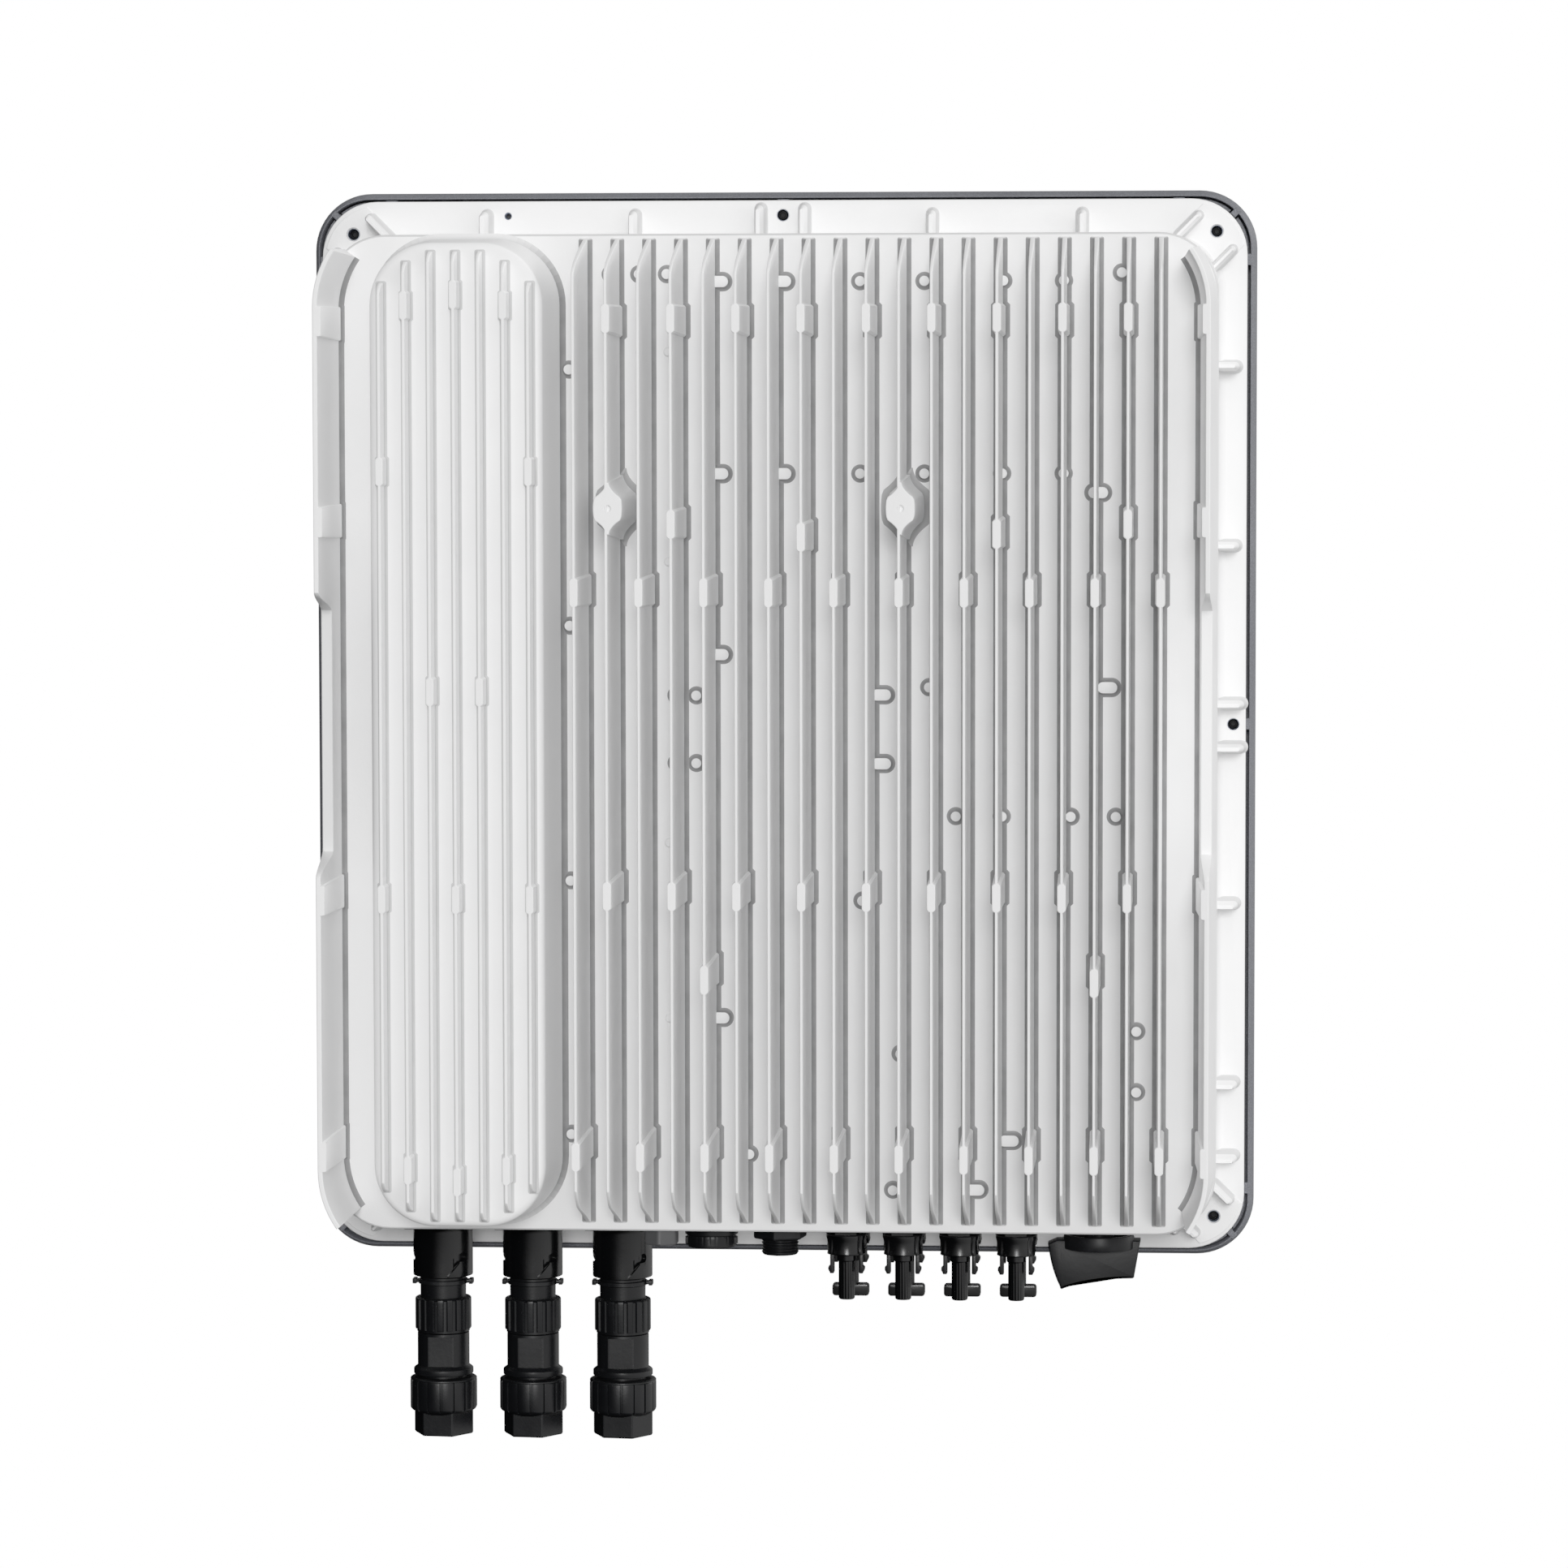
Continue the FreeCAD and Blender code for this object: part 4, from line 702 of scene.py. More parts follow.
def case_box(build):
    """Drafted box with a rounded rear edge, from the base plate to the flange."""
    def ring(grow_x, grow_z, r, depth):
        return rr_ring(BODY_X, BODY_Z, CASE_HALF_X + grow_x, CASE_HALF_Z + grow_z, r, depth, 12)

    rings = [ring(5.3, 5.0, 33.0, FLANGE_REAR + 1)]
    for grow, rise in fillet_steps(3.8, 5):
        rings.append(ring(1.4 + grow, 1.2 + grow, 28.4 + grow, FLANGE_REAR - rise))
    rings.append(ring(0.0, 0.0, CASE_R, FIN_BASE + 1.2))
    for a in quarter(5):
        inset = 1.1 * (1 - cos(a))
        rings.append(ring(-inset, -inset, CASE_R - inset, FIN_BASE + 1.2 - 1.2 * sin(a)))
    # Light painted shade on the rounding of the rear edge.
    build.loft(rings[::-1], roots=4, painted_shade=0.4)


def screw_places():
    spots = []
    for sx in (-1, 1):
        spots += [(BODY_X + sx * CORNER_SCREW_X, BODY_Z + sz * CORNER_SCREW_Z) for sz in (-1, 1)]
        spots.append((BODY_X + sx * 243.0, BODY_Z + 1.2))
    return spots + [(BODY_X, BODY_Z + sz * 275.5) for sz in (-1, 1)]


SMALL_HOLE = (BODY_X + 149, BODY_Z + 275.5)


def hole_cutters():
    """Countersunk screw holes through the flange, and one small plain hole."""
    holes = Build()
    front = FLANGE_FRONT + 1
    sink = FLANGE_REAR - 1.4
    for x, z in screw_places():
        turn_y(holes, x, z, ((3.25, front), (3.25, FLANGE_REAR + 0.4), (3.65, FLANGE_REAR), (3.9, sink)), 40)
    turn_y(holes, *SMALL_HOLE, ((2.0, front), (2.0, FLANGE_REAR + 0.3), (2.3, FLANGE_REAR), (3.5, sink)), 28)
    return holes


def flange():
    plate = Build()
    rings = []
    for inset, d in ((0.5, FLANGE_FRONT), (0.0, FLANGE_FRONT - 0.5), (0.0, FLANGE_REAR + 0.9),
                     (0.25, FLANGE_REAR + 0.35), (0.9, FLANGE_REAR)):
        rings.append(rr_ring(BODY_X + 0.3, BODY_Z, 250.0 - inset, 283.5 - inset, FLANGE_R - inset, d, 12))
    plate.loft(rings)
    return cut(to_mesh(plate, "plate"), hole_cutters())


def corner_lands():
    """Low raised lands that carry the corner screws, each between its pair of ribs."""
    build = Build()
    for sx, sz, out in CORNERS:
        rings = []
        for inset, d in ((0.0, FLANGE_REAR + 0.3), (0.0, FLANGE_REAR - 0.45), (0.35, FLANGE_REAR - 0.75)):
            half = 15.8 - inset
            r = FLANGE_R - 0.9 - inset
            pts = [(-22.0, half), (-22.0, -half)]
            for k in range(13):
                v = -half + 2 * half * k / 12
                pts.append((-19.3 + sqrt(r * r - v * v), v))
            rings.append(headed(BODY_X + sx * CORNER_SCREW_X, BODY_Z + sz * CORNER_SCREW_Z, out, d, pts))
        build.loft(rings)
    return cut(to_mesh(build, "lands"), hole_cutters())


def screw_inserts():
    """Steel sleeves set in the flange holes: a bright chamfer and a dark bore."""
    build = Build()
    spots = [(x, z, 2.7, 3.23) for x, z in screw_places()]
    spots.append((*SMALL_HOLE, 1.35, 1.98))
    for x, z, r_in, r_out in spots:
        inner_end = FLANGE_FRONT - 0.1
        profile = ((r_out, inner_end), (r_out, FLANGE_REAR + 0.5), (r_out - 0.15, FLANGE_REAR + 0.35),
                   (r_in + 0.25, FLANGE_REAR + 0.9), (r_in, FLANGE_REAR + 1.3), (r_in, inner_end))
        turn_y(build, x, z, profile, 40, loop=True)
    return to_mesh(build, "screw_inserts")


def cover_screws():
    """Screws seen end-on, sunk in their holes; the top middle one stands further out."""
    build = Build()
    for x, z in screw_places():
        tip = FLANGE_REAR + 1.2 if z > 150 and abs(x - BODY_X) < 1 else FLANGE_REAR + 4.6
        turn_y(build, x, z, ((5.0, 194.8), (5.0, 190.2), (2.65, 190.0), (2.65, tip + 1.4), (2.2, tip + 0.7),
                             (1.5, tip + 0.5), (1.2, tip + 0.9)))
    return to_mesh(build, "cover_screws")


def rib(build, x, z, reach, heading, half=3.2):
    """Buttress on the flange: rounded at its far end, its crest sloping back to the case wall.

    It starts inside the case wall at (x, z) and runs out by reach along heading.
    """
    rings = []
    # (less width, less length, height over the flange) up the rib
    for thinner, shorter, height in ((-0.8, -0.8, -0.3), (-0.1, -0.1, 0.5), (0.2, 0.2, 1.4), (0.9, 1.6, 14),
                                     (1.6, 3.4, 24), (2.2, 4.2, 26)):
        hw = max(half - thinner, 0.5)
        length = reach - shorter
        pts = [(-4.0, -hw), (length - hw, -hw)]
        for k in range(1, 8):
            a = radians(-90 + 180.0 * k / 8)
            pts.append((length - hw + hw * cos(a), hw * sin(a)))
        pts += [(length - hw, hw), (-4.0, hw)]
        rings.append(headed(x, z, heading, FLANGE_REAR - height, pts))
    # Light painted shade at the rib's foot.
    build.loft(rings, roots=3, painted_shade=0.35)


def flange_ribs(build):
    up, down, left, right = radians(90), radians(270), 0.0, radians(180)
    for x, reach in ((156.5, 17), (76, 17), (8, 20), (-15.6, 20), (-84.5, 17), (-165, 17)):
        rib(build, x, BODY_Z + CASE_HALF_Z, reach, up)
    for z, reach in ((74, 14), (-22, 14), (-107, 17), (-130.5, 17), (-215, 14), (-312, 14), (-352, 14)):
        rib(build, BODY_X - CASE_HALF_X, z, reach, right)
        rib(build, BODY_X + CASE_HALF_X, z, reach, left)
    for x in (BODY_X - 212, BODY_X + 212):
        rib(build, x, BOTTOM_Z, 14, down)
    for x in (158, 21, -84):
        rib(build, x, BOTTOM_Z, 7, down, half=2.6)
    for sx, sz, out in CORNERS:
        for across in (-12.9, 12.9):
            x = BODY_X + sx * CORNER_SCREW_X - 17 * cos(out) - across * sin(out)
            z = BODY_Z + sz * CORNER_SCREW_Z - 17 * sin(out) + across * cos(out)
            rib(build, x, z, 19, out, half=2.85)


def rear_casting():
    build = Build()
    case_box(build)
    pod(build)
    small_fins(build)
    for i in range(FIN_COUNT):
        main_fin(build, i)
    main_columns(build)
    side_rail(build, 1)
    side_rail(build, -1)
    base_lands(build)
    flange_ribs(build)
    return to_mesh(build, "rear_casting")


put("rear_casting", rear_casting(), CASTING, "case", replaces=("rear_housing",), angle=34)
put("rear_flange", flange(), CASTING, "case", angle=34)
put("corner_lands", corner_lands(), CASTING, "case", angle=34)
put("hanging_bosses", hanging_bosses(), CASTING, "case", angle=34)
put("screw_inserts", screw_inserts(), STEEL, "case", angle=34)
put("cover_screw_set", cover_screws(), DARK_STEEL, "case", replaces=("cover_screws",),
    angle=34)


# ---------------------------------------------------------- front cover
def cover_shell():
    """Shallow tray: a lip beside a deep groove at the rear, and a rounded front edge."""
    build = Build()
    section = [(26.2, 230.0), (25.2, 229.0), (25.2, 177.5), (24.7, 177.0), (5.1, 177.0), (4.9, 177.3),
               (4.9, 190.0), (3.6, 190.0), (3.6, 172.9), (3.4, 172.55), (3.0, 172.6), (2.6, 173.2),
               (0.35, 180.6), (0.08, 182.0), (0.0, 183.5), (0.0, 225.0)]
    for a in quarter(8):
        section.append((COVER_BEND_R * (1 - cos(a)), 225.0 + COVER_BEND_R * sin(a)))
    build.loft([rr_ring(BODY_X + 0.4, BODY_Z, COVER_HALF_X - inset, COVER_HALF_Z - inset, COVER_R - inset,
                        depth, 14) for inset, depth in section])
    return to_mesh(build, "cover_shell")


def cover_corners():
    """Centre of each corner's bend, with its outward heading."""
    return [(BODY_X + sx * (COVER_HALF_X - COVER_R), BODY_Z + sz * (COVER_HALF_Z - COVER_R), out)
            for sx, sz, out in CORNERS]


def cover_wells():
    """Screw wells, the window's seat, and two slits beside each corner stop."""
    wells = Build()
    for x, z in screw_places():
        turn_y(wells, x, z, ((3.1, 176.0), (3.1, 190.0), (5.4, 190.0), (5.4, 233.4), (6.1, 234.2),
                             (6.1, 236.0)), 36)
    wells.loft([rr_ring(BODY_X, WINDOW_Z, 54.0 + g, 18.0 + g, 3.0 + g, d) for g, d in
                ((0.0, 231.6), (0.0, 233.5), (0.6, 234.1), (0.6, 236.0))])
    for x, z, out in cover_corners():
        for across in (-2.25, 2.25):
            low = across - 0.45
            high = across + 0.45
            slit = ((18.0, high), (18.0, low), (26.6, low), (26.6, high))
            wells.loft([headed(x, z, out, d, slit) for d in (174.5, 188.0)])
    return wells


def cover_stops():
    """Small tabs that reach across the groove: one at each corner and three on each side."""
    stops = Build()
    for x, z, out in cover_corners():
        rings = []
        for inset, d in ((0.25, 172.6), (0.0, 172.85), (0.0, 173.65), (0.25, 173.9)):
            near = 24.3 + inset
            half = 1.7 - inset
            rings.append(headed(x, z, out, d, ((near, half), (near, -half), (28.7, -half), (28.7, half))))
        stops.loft(rings)
    tab = ((0.15, 172.6), (0.0, 172.75), (0.0, 173.75), (0.15, 173.9))
    for side in (-1, 1):
        for z in (BODY_Z - 251.0, BODY_Z + 1.2, BODY_Z + 251.0):
            x = BODY_X + side * 250.85
            stops.loft([rr_ring(x, z, 1.15 - g, 3.0 - g, 0.3, d, 3) for g, d in tab])
        for x in (BODY_X - 213.0, BODY_X, BODY_X + 213.0):
            z = BODY_Z + side * 283.45
            stops.loft([rr_ring(x, z, 3.0 - g, 0.75 - g, 0.3, d, 3) for g, d in tab])
    return to_mesh(stops, "cover_stops")


def window_lens():
    build = Build()
    build.loft([rr_ring(BODY_X, WINDOW_Z, 53.85 - g, 17.85 - g, 2.85 - g, d) for g, d in
                ((0.0, 231.65), (0.0, 233.3), (0.2, 233.65), (0.6, 233.8))])
    return to_mesh(build, "window_lens")


put("cover_tray", join([cut(cover_shell(), cover_wells()), cover_stops()]), COVER_PAINT, "case",
    replaces=("front_cover",), angle=30)
put("window_lens", window_lens(), WINDOW, "case", replaces=("display_window",))


# --------------------------------------------------------- AC connectors
# Every connector is built on the Z axis and then moved to its place.
def finer(spans, step=4.0):
    """Adds stations between the given (angle, low, high) ones so that a sweep follows the cylinder."""
    out = [spans[0]]
    for a, b in zip(spans, spans[1:]):
        count = max(1, ceil((b[0] - a[0]) / step))
        for k in range(1, count + 1):
            t = k / count
            out.append(tuple(p + (q - p) * t for p, q in zip(a, b)))
    return out


def track_cut(build, turn, spans, r_in, r_out=18.0):
    """Cutter that follows a sleeve. Angles are counted from the wall side towards -X, beyond turn."""
    rings = []
    for deg, low, high in finer([(turn + a, low, high) for a, low, high in spans]):
        sx = -sin(radians(deg))
        sy = cos(radians(deg))
        rings.append([(r_in * sx, r_in * sy, low), (r_out * sx, r_out * sy, low),
                      (r_out * sx, r_out * sy, high), (r_in * sx, r_in * sy, high)])
    build.loft(rings)


def bayonet_tracks():
    """Three slanted tracks that end in a round lock hole, 120 degrees apart."""
    shallow = Build()
    deep = Build()
    slope = ((-24.4, -414.6, -413.3), (15.9, -414.6, -404.75), (16.1, -411.3, -404.7),
             (28.7, -407.8, -402.0))
    pocket = [(28.7, -407.0, -401.0), (41.2, -404.3, -399.9), (49.5, -404.1, -399.1)]
    for a in quarter(8):
        half = max(0.12, 2.5 * cos(a))
        pocket.append((49.5 + 8.95 * sin(a), -401.6 - half, -401.6 + half))
    groove = ((16.0, -412.2, -411.2), (41.2, -405.0, -404.2))
    for turn in (0.0, 120.0, 240.0):
        track_cut(shallow, turn, slope, 15.15)
        track_cut(deep, turn, pocket, 14.0)
        track_cut(deep, turn, groove, 14.2)
    return shallow, deep


def ac_socket():
    """Sleeve with bayonet tracks under a square plate with four screw heads."""
    build = Build()
    profile = ((13.8, -385.5), (13.8, -412.2), (14.2, -412.7), (15.4, -412.7), (15.85, -412.5),
               (16.0, -412.0), (16.0, -388.2), (16.3, -386.9), (17.4, -385.5))
    lathe(build, 0, 0, profile, 96, hollow=True)
    shallow, deep = bayonet_tracks()
    sleeve = cut(cut(to_mesh(build, "sleeve"), shallow), deep)
    rest = Build()
    soft_box(rest, -19, 19, -19, 19, -386.0, -381.5, 0.9)
    lathe(rest, 0, 0, ((13.6, -389.5), (14.1, -389.0), (14.1, -381.0)), 48)
    for k in range(4):
        a = radians(45 + 90 * k)
        lathe(rest, 15.4 * cos(a), -15.4 * sin(a), ((2.2, -387.0), (2.6, -386.6), (2.6, -385.8)), 20)
    return join([sleeve, to_mesh(rest, "socket_plate")])


def peg_x(build, side, x0, x1, half_y, z0, z1, r):
    """Rounded peg that points along X to one side."""
    rings = []
    for inset, x in ((0.0, x0), (0.0, x1 - 0.5), (0.16, x1 - 0.12), (0.55, x1)):
        flat = rr_ring(0, (z0 + z1) / 2, half_y - inset, (z1 - z0) / 2 - inset, r - inset * 0.5, 0, 4)
        rings.append([(side * x, p[0], p[2]) for p in flat])
    build.loft(rings)


def ac_locking_ring():
    """Ring with a two-step tab on either side, a neck, and a collar with wide ribs."""
    def grooved(a, r, z):
        if z > -425.1 or z < -442.0 or r < 14.2:
            return r
        spot = (degrees(a) - 90.0 - 1.0) % 20.0
        off = min(spot, 20.0 - spot)
        if off <= 5.6:
            return r
        return r + (14.15 - r) * min(1.0, (off - 5.6) / 0.9)

    build = Build()
    profile = ((10.95, -413.3), (12.0, -413.3), (12.3, -413.6), (12.3, -414.7), (12.9, -414.8),
               (13.3, -415.1), (13.3, -417.0), (12.95, -417.3), (12.25, -417.5), (12.2, -424.3),
               (12.4, -424.6), (14.4, -424.6), (14.9, -425.0), (15.05, -425.6), (15.05, -426.3),
               (15.05, -441.0), (14.9, -441.6), (14.2, -441.8), (14.15, -442.9), (13.8, -443.2),
               (10.95, -443.2))
    lathe(build, 0, 0, profile, 360, grooved, hollow=True)
    for side in (-1, 1):
        peg_x(build, side, 12.4, 15.2, 2.6, -417.0, -415.1, 0.5)
        peg_x(build, side, 14.3, 16.3, 3.4, -417.5, -414.6, 0.6)
    return to_mesh(build, "locking_ring")


def ac_plug():
    """Plug body with a wrench flat on the wall side and a flange below it."""
    def flatted(a, r, z):
        if z > -445.0 or z < -461.2:
            return r
        lean = sin(a)
        return min(r, 12.1 / lean) if lean > 0.5 else r

    build = Build()
    profile = ((12.9, -391.2), (13.5, -391.8), (13.5, -412.6), (13.1, -413.0), (10.9, -413.05),
               (10.9, -443.0), (10.9, -443.5), (13.5, -443.5), (13.85, -443.7), (13.9, -444.9),
               (13.9, -445.1), (13.9, -461.1), (13.95, -461.3), (14.5, -461.9), (15.5, -462.6),
               (15.95, -463.1), (16.0, -463.6), (16.0, -465.5), (15.85, -465.9), (15.4, -466.1),
               (13.5, -466.2), (13.5, -466.7), (12.25, -466.7), (12.25, -480.0), (8.0, -480.0),
               (8.0, -425.0))
    lathe(build, 0, 0, profile, 180, flatted)
    return to_mesh(build, "ac_plug")


def gland_nut():
    """Ribbed drum over a hexagon; each groove between panels is a narrow slot."""
    def outline(a, r, z):
        if -485.0 < z < -468.9 and r > 17.0:
            spot = ((degrees(a) - 90.0 - 2.2) % 22.5) / 11.25 - 1.0
            bulge = 16.9 if abs(spot) > 0.87 else 17.95 - 0.25 * spot * spot
            return bulge - (17.7 - r)
        if z < -485.2 and r > 10.0:
            side = (degrees(a) - 90.0 - 23.4) % 60.0 - 30.0
            hexagon = min(14.1 / cos(radians(side)), 16.1)
            if z < -497.7:
                hexagon -= 0.55 * (-497.7 - z) / 0.8
            return max(hexagon, r) if z > -497.0 else hexagon
        return r

    build = Build()
    profile = [(12.3, -467.6), (16.4, -467.6), (17.3, -467.9), (17.75, -468.3), (17.85, -468.6),
               (17.85, -468.85), (17.4, -469.0), (17.6, -469.4), (17.7, -469.9), (17.7, -483.9),
               (17.5, -484.5), (17.2, -484.9)]
    profile += [(17.1 - 0.5 * k, -485.3 - 0.3 * k) for k in range(9)]
    profile += [(11.0, -497.7), (11.0, -498.5), (9.5, -498.5), (9.0, -498.0), (9.0, -482.2), (12.3, -482.2)]
    lathe(build, 0, 0, profile, 384, outline, hollow=True)
    return to_mesh(build, "gland_nut")


AC_PIECES = (("ac_shell", ac_socket(), GLOSS_NYLON, "ac_socket", 26),
             ("ac_ring", ac_locking_ring(), NYLON, "ac_locking_ring", 26),
             ("ac_body", ac_plug(), NYLON, "ac_plug", 24),
             ("ac_nut", gland_nut(), NYLON, "ac_gland_nut", 24))
for n, x in enumerate(AC_X, 1):
    for label, template, look, node, crease in AC_PIECES:
        rider = "locking_ring_%d" % n if node == "ac_locking_ring" else "case"
        put("%s_%d" % (label, n), placed(template, x, AC_DEPTH), look, rider,
            replaces=("%s_%d" % (node, n),), angle=crease)


# --------------------------------------------------------- PV connectors
def offset_outline(outline, amount):
    """Moves a flat outline inwards by amount; the outline runs counter-clockwise."""
    n = len(outline)
    moved = []
    for i in range(n):
        (ax, az), (bx, bz), (cx, cz) = outline[i - 1], outline[i], outline[(i + 1) % n]
        n1 = Vector((-(bz - az), bx - ax)).normalized()
        n2 = Vector((-(cz - bz), cx - bx)).normalized()
        both = (n1 + n2) / max(0.35, 1.0 + n1.dot(n2))
        moved.append((bx + both.x * amount, bz + both.y * amount))
    return moved


def slab_y(build, outline, half_y, bevel):
    """Flat outline in X and Z, given thickness along Y, with rounded long edges."""
    rings = []
    for side in (-1, 1):
        steps = [(bevel * (1 - sin(a)), half_y - bevel * (1 - cos(a))) for a in quarter(3, 0)]
        for inset, y in steps[::-side]:
            rings.append([(px, side * y, pz) for px, pz in offset_outline(outline, inset)])
    build.loft(rings)


def pv_bell():
    """Socket barrel with four shallow waists, slotted on both sides for the latch arms."""
    def waisted(a, r, z):
        spot = (degrees(a) - 45.0) % 90.0
        off = min(spot, 90.0 - spot)
        if z < -386.2 and r > 10.0 and off < 6.5:
            return r - 0.8 * min(1.0, (6.5 - off) / 1.5)
        return r

    build = Build()
    profile = ((10.6, -385.2), (10.9, -385.8), (10.9, -387.0), (10.45, -388.4), (10.3, -390.0),
               (10.35, -392.4), (10.6, -394.2), (10.8, -395.4), (10.6, -395.9), (10.2, -396.1),
               (9.2, -396.1), (8.7, -395.6), (8.3, -392.2), (6.1, -392.2), (6.0, -395.6), (5.7, -396.0),
               (4.7, -396.0), (4.38, -395.6), (4.38, -386.0))
    lathe(build, 0, 0, profile, 120, waisted)
    slots = Build()
    for x0, x1 in ((-13, -6.5), (6.5, 13)):
        soft_box(slots, x0, x1, -3.7, 3.7, -398.0, -393.9, 0.3)
    return cut(to_mesh(build, "bell"), slots)


def pv_socket():
    """The bell under its hexagon, with a hooked latch arm on either side."""
    rest = Build()
    hexagon = [(11.25 * cos(radians(60 * k)), 11.25 * sin(radians(60 * k))) for k in range(6)]
    rings = []
    for inset, z in ((0.5, -385.6), (0.0, -385.1), (0.0, -382.0), (0.0, -381.5)):
        rings.append([(px, py, z) for px, py in offset_outline(hexagon, inset)])
    rest.loft(rings)
    arm = [(6.5, -393.0), (8.7, -393.0), (8.7, -402.3), (9.7, -403.3), (9.7, -404.4), (8.6, -406.5),
           (6.9, -406.5), (6.5, -405.9)]
    slab_y(rest, [(-px, pz) for px, pz in arm], 3.0, 0.45)
    slab_y(rest, arm[::-1], 3.0, 0.45)
    return join([pv_bell(), to_mesh(rest, "pv_rest")])


PLUG_STEM = ((3.9, -386.1), (4.3, -386.5), (4.3, -396.2), (4.7, -396.3), (5.1, -396.7), (5.1, -399.4),
             (4.8, -399.9), (4.3, -400.1), (4.3, -401.4))


def fluted(a, r, z):
    if r > 4.0 and z < -401.0:
        return r - 0.28 * (0.5 - 0.5 * cos(16 * a)) ** 2
    return r


def pin_plug():
    """Dust plug with a plain fluted stem."""
    build = Build()
    lathe(build, 0, 0, PLUG_STEM + ((4.3, -419.3), (4.15, -420.0), (3.6, -420.4)), 128, fluted)
    return to_mesh(build, "pin_plug")


def tee_plug():
    """Dust plug with a finger bar across the end of its stem."""
    build = Build()
    lathe(build, 0, 0, PLUG_STEM + ((4.3, -419.5),), 128, fluted)
    bar = []
    for cx, cz, start in ((8.2, -419.7, 0), (-8.2, -419.7, 90), (-8.2, -422.9, 180), (8.2, -422.9, 270)):
        for k in range(5):
            a = radians(start + 22.5 * k)
            bar.append((cx + 1.7 * cos(a), cz + 1.7 * sin(a)))
    slab_y(build, bar, 3.5, 0.9)
    return to_mesh(build, "tee_plug")


pv_template = pv_socket()
pv_rows = [(d, x, maker) for d, maker in zip(PV_DEPTHS, (pin_plug, tee_plug)) for x in PV_X]
for n, (d, x, maker) in enumerate(pv_rows, 1):
    put("pv_plug_%d" % n, placed(maker(), x, d), GLOSS_NYLON, "dust_plug_%d" % n,
        replaces=("pv_dust_plug_%d" % n,), angle=26)
put("pv_socket_set", join([placed(pv_template, x, d) for d, x, maker in pv_rows]), GLOSS_NYLON, "case",
    replaces=("pv_sockets",), angle=26)


# ------------------------------------------------- knob and small fittings
def arc_points(p0, p1, p2, count):
    """Points from p0 to p2 on the curve that passes p1."""
    pts = []
    for k in range(count + 1):
        t = k / count
        bend = 4 * t * (1 - t)
        mid = ((p0[0] + p2[0]) / 2, (p0[1] + p2[1]) / 2)
        pts.append((p0[0] + (p2[0] - p0[0]) * t + bend * (p1[0] - mid[0]),
                    p0[1] + (p2[1] - p0[1]) * t + bend * (p1[1] - mid[1])))
    return pts


def switch_knob():
    """Round rim with a paddle blade that leans out to one side."""
    build = Build()
    rim = ((16.6, -387.0), (18.2, -387.0), (18.6, -387.3), (19.2, -390.5), (19.2, -393.8), (18.9, -394.4),
           (18.2, -394.6), (6.0, -394.6), (6.0, -391.5), (16.6, -391.5))
    lathe(build, 0, 0, rim, 96, hollow=True)
    lathe(build, 0, 0, ((8.0, -383.0), (8.0, -394.0)), 32)
    blade = [(22.2, -389.7), (-22.2, -389.7)]
    blade += arc_points((-18.9, -408.6), (-18.6, -409.8), (-17.4, -410.2), 4)
    blade += arc_points((-17.0, -410.2), (2.0, -411.7), (18.2, -415.6), 10)
    blade += arc_points((18.6, -415.8), (20.0, -416.2), (20.6, -415.0), 4)
    blade += arc_points((20.9, -414.2), (24.6, -404.3), (26.8, -393.2), 9)
    blade += [(27.0, -391.9)]
    slab_y(build, blade, 6.5, 1.4)
    return to_mesh(build, "switch_knob")


def hex_radius(a, across_corners, turn, limit):
    """Radius of a hexagon at an angle, its corners cut back to the limit."""
    flat = across_corners / 2 * cos(radians(30))
    return min(limit, flat / cos(radians((degrees(a) - turn) % 60.0 - 30.0)))


def vent_valve():
    def cap(a, r, z):
        return min(r, hex_radius(a, 19.4, 25, 9.3) - (9.3 - r) * 0.6) if r > 7.5 else r

    build = Build()
    profile = ((5.6, -390.3), (6.0, -389.9), (6.6, -389.9), (7.0, -390.3), (8.4, -390.3), (8.9, -390.0),
               (9.3, -389.4), (9.3, -381.5))
    lathe(build, VENT_X, VENT_DEPTH, profile, 96, cap)
    return to_mesh(build, "vent_valve")


def data_port_cap():
    """Knurled cap with a lug on either side."""
    def lugged(a, r, z):
        if -391.6 < z < -388.0 and r > 12.5 and abs(sin(a)) < 0.28:
            return r + 1.0
        return r - 0.2 * (cos(24 * a) > 0.55) if -391.4 < z < -387.6 and r > 12.5 else r

    build = Build()
    profile = ((11.2, -393.2), (12.4, -393.1), (12.9, -392.6), (13.0, -391.8), (13.0, -391.5),
               (13.0, -388.1), (13.0, -387.7), (12.8, -386.8), (13.6, -386.6), (14.1, -386.2),
               (14.2, -385.7), (14.2, -381.5))
    lathe(build, DATA_X, DATA_DEPTH, profile, 240, lugged)
    return to_mesh(build, "data_port_cap")


def module_port():
    """Hexagon with a threaded nose."""
    def body(a, r, z):
        return hex_radius(a, 29.6, 20, 14.6) - (14.8 - r) * 0.8

    build = Build()
    profile = ((13.4, -388.4), (14.3, -388.1), (14.8, -387.4), (14.8, -381.5))
    lathe(build, MODULE_X, MODULE_DEPTH, profile, 120, body)
    thread = [(7.2, -397.0), (8.9, -397.0), (9.3, -396.6)]
    for k in range(5):
        z = -396.2 + 1.6 * k
        thread += [(9.2, z - 0.2), (9.85, z + 0.45), (9.85, z + 0.65), (9.2, z + 1.3)]
    thread.append((9.2, -388.2))
    lathe(build, MODULE_X, MODULE_DEPTH, thread, 64)
    return to_mesh(build, "module_port")


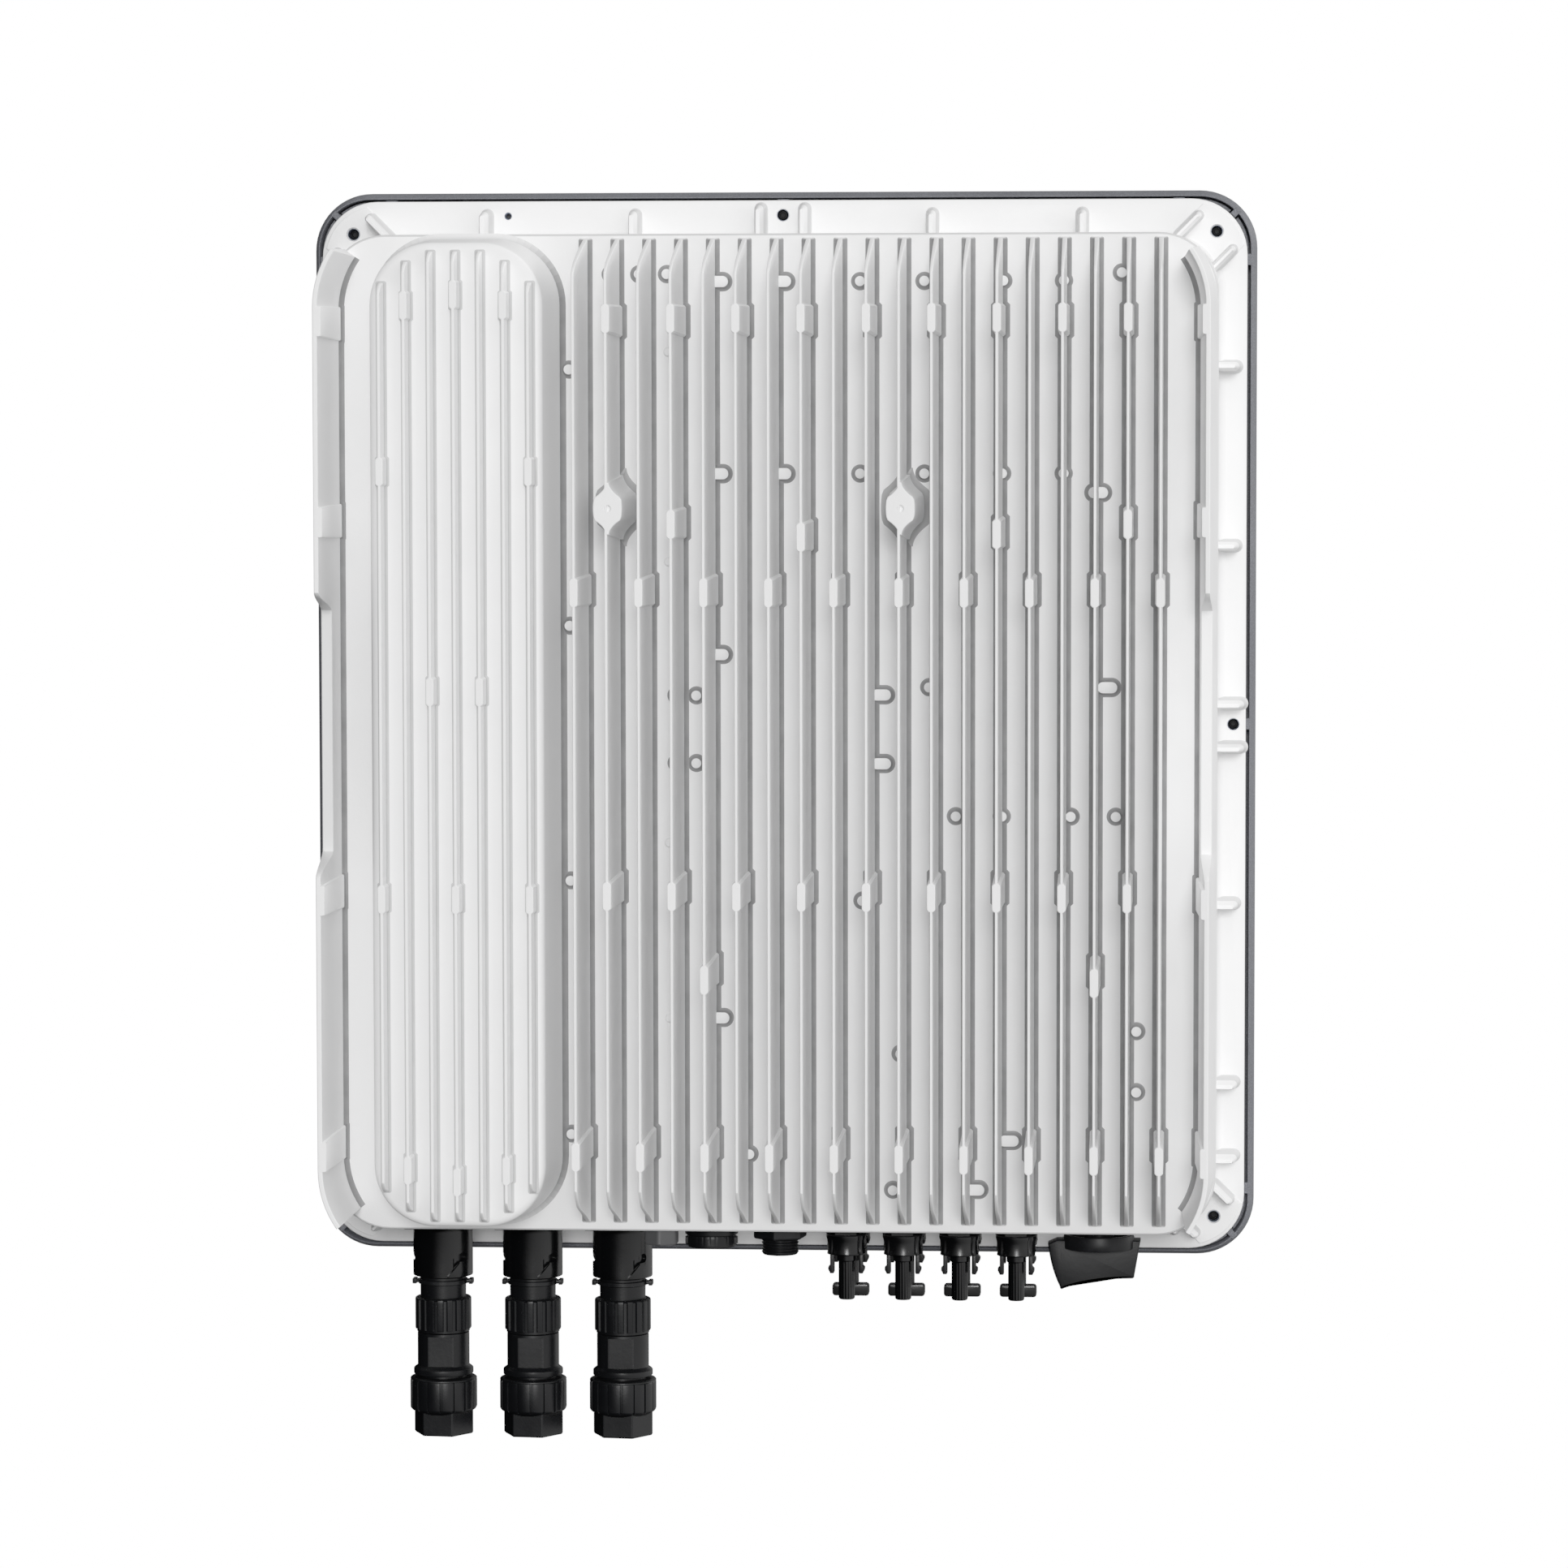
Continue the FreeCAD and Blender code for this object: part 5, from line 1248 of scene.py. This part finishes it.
put("knob_paddle", placed(switch_knob(), KNOB_X, KNOB_DEPTH), CHARCOAL, "switch_knob",
    replaces=("dc_switch_knob",), angle=28)
put("vent_cap", vent_valve(), VENT_GREY, "case", replaces=("vent_valve",), angle=26)
put("data_cap", data_port_cap(), NYLON, "case", replaces=("data_port_cap",), angle=26)
put("module_nose", module_port(), NYLON, "case", replaces=("module_port",), angle=26)


# ------------------------------------------------------ camera and stage
def make_camera():
    """Long lens behind the object, a little above its middle, looking slightly down and to +X."""
    forward = Vector((0.06829, -0.99571, -0.06248)).normalized()
    right = forward.cross(Vector((-0.0014, 0.0, 1.0))).normalized()
    place = Matrix((right, right.cross(forward), -forward)).transposed().to_4x4()
    place.translation = Vector((-0.2084, 2.8131, 0.0358))
    data = bpy.data.cameras.new("camera")
    data.sensor_width = 36.0
    data.lens = 126.7
    data.clip_end = 50
    camera = bpy.data.objects.new("camera", data)
    camera.matrix_world = place
    bpy.context.scene.collection.objects.link(camera)
    bpy.context.scene.camera = camera


def distant_light(name, toward, strength, spread):
    data = bpy.data.lights.new(name, "SUN")
    data.energy = strength
    data.angle = radians(spread)
    obj = bpy.data.objects.new(name, data)
    obj.matrix_world = Vector(toward).to_track_quat("Z", "Y").to_matrix().to_4x4()
    bpy.context.scene.collection.objects.link(obj)


def make_floor():
    """Pale round floor well below the object."""
    build = Build()
    lathe(build, 0, 0, ((2400.0, -1130.0), (2400.0, -1104.0), (2396.0, -1100.0)), 96)
    floor = to_mesh(build, "studio_floor")
    mat, nt, bsdf = new_material("studio_floor")
    bsdf.inputs["Base Color"].default_value = (0.9, 0.9, 0.9, 1)
    bsdf.inputs["Roughness"].default_value = 0.9
    bsdf.inputs["Emission Color"].default_value = (1, 1, 1, 1)
    bsdf.inputs["Emission Strength"].default_value = 0.35
    floor.materials.append(mat)
    obj = bpy.data.objects.new("studio_floor", floor)
    bpy.context.scene.collection.objects.link(obj)
    obj.visible_diffuse = False
    obj.visible_glossy = False


def make_room():
    """White room that looks plain and lights the object mostly from above and from -X."""
    world = bpy.data.worlds.new("studio")
    bpy.context.scene.world = world
    world.use_nodes = True
    tree = world.node_tree
    room = tree.nodes["Background"]
    room.inputs[0].default_value = (1, 1, 1, 1)
    toward = tree.nodes.new("ShaderNodeVectorMath")
    toward.operation = "DOT_PRODUCT"
    tree.links.new(tree.nodes.new("ShaderNodeTexCoord").outputs["Generated"], toward.inputs[0])
    toward.inputs[1].default_value = (-0.72, 0.25, 0.45)
    tree.links.new(map_range(tree, toward.outputs["Value"], -0.25, 1.0, 0.0, 0.90), room.inputs[1])
    seen = tree.nodes.new("ShaderNodeBackground")
    seen.inputs[0].default_value = (1, 1, 1, 1)
    seen.inputs[1].default_value = 1.0
    choose = tree.nodes.new("ShaderNodeMixShader")
    tree.links.new(tree.nodes.new("ShaderNodeLightPath").outputs["Is Camera Ray"], choose.inputs[0])
    tree.links.new(room.outputs[0], choose.inputs[1])
    tree.links.new(seen.outputs[0], choose.inputs[2])
    tree.links.new(choose.outputs[0], tree.nodes["World Output"].inputs[0])


make_camera()
make_floor()
make_room()
distant_light("front_light", (-0.07, 1.0, 0.20), 1.19, 12)
distant_light("rim_light", (-0.8, -0.45, 0.3), 0.5, 20)
view = bpy.context.scene.view_settings
view.view_transform = "Standard"
view.look = "None"
view.exposure = 0.0
view.gamma = 1.55
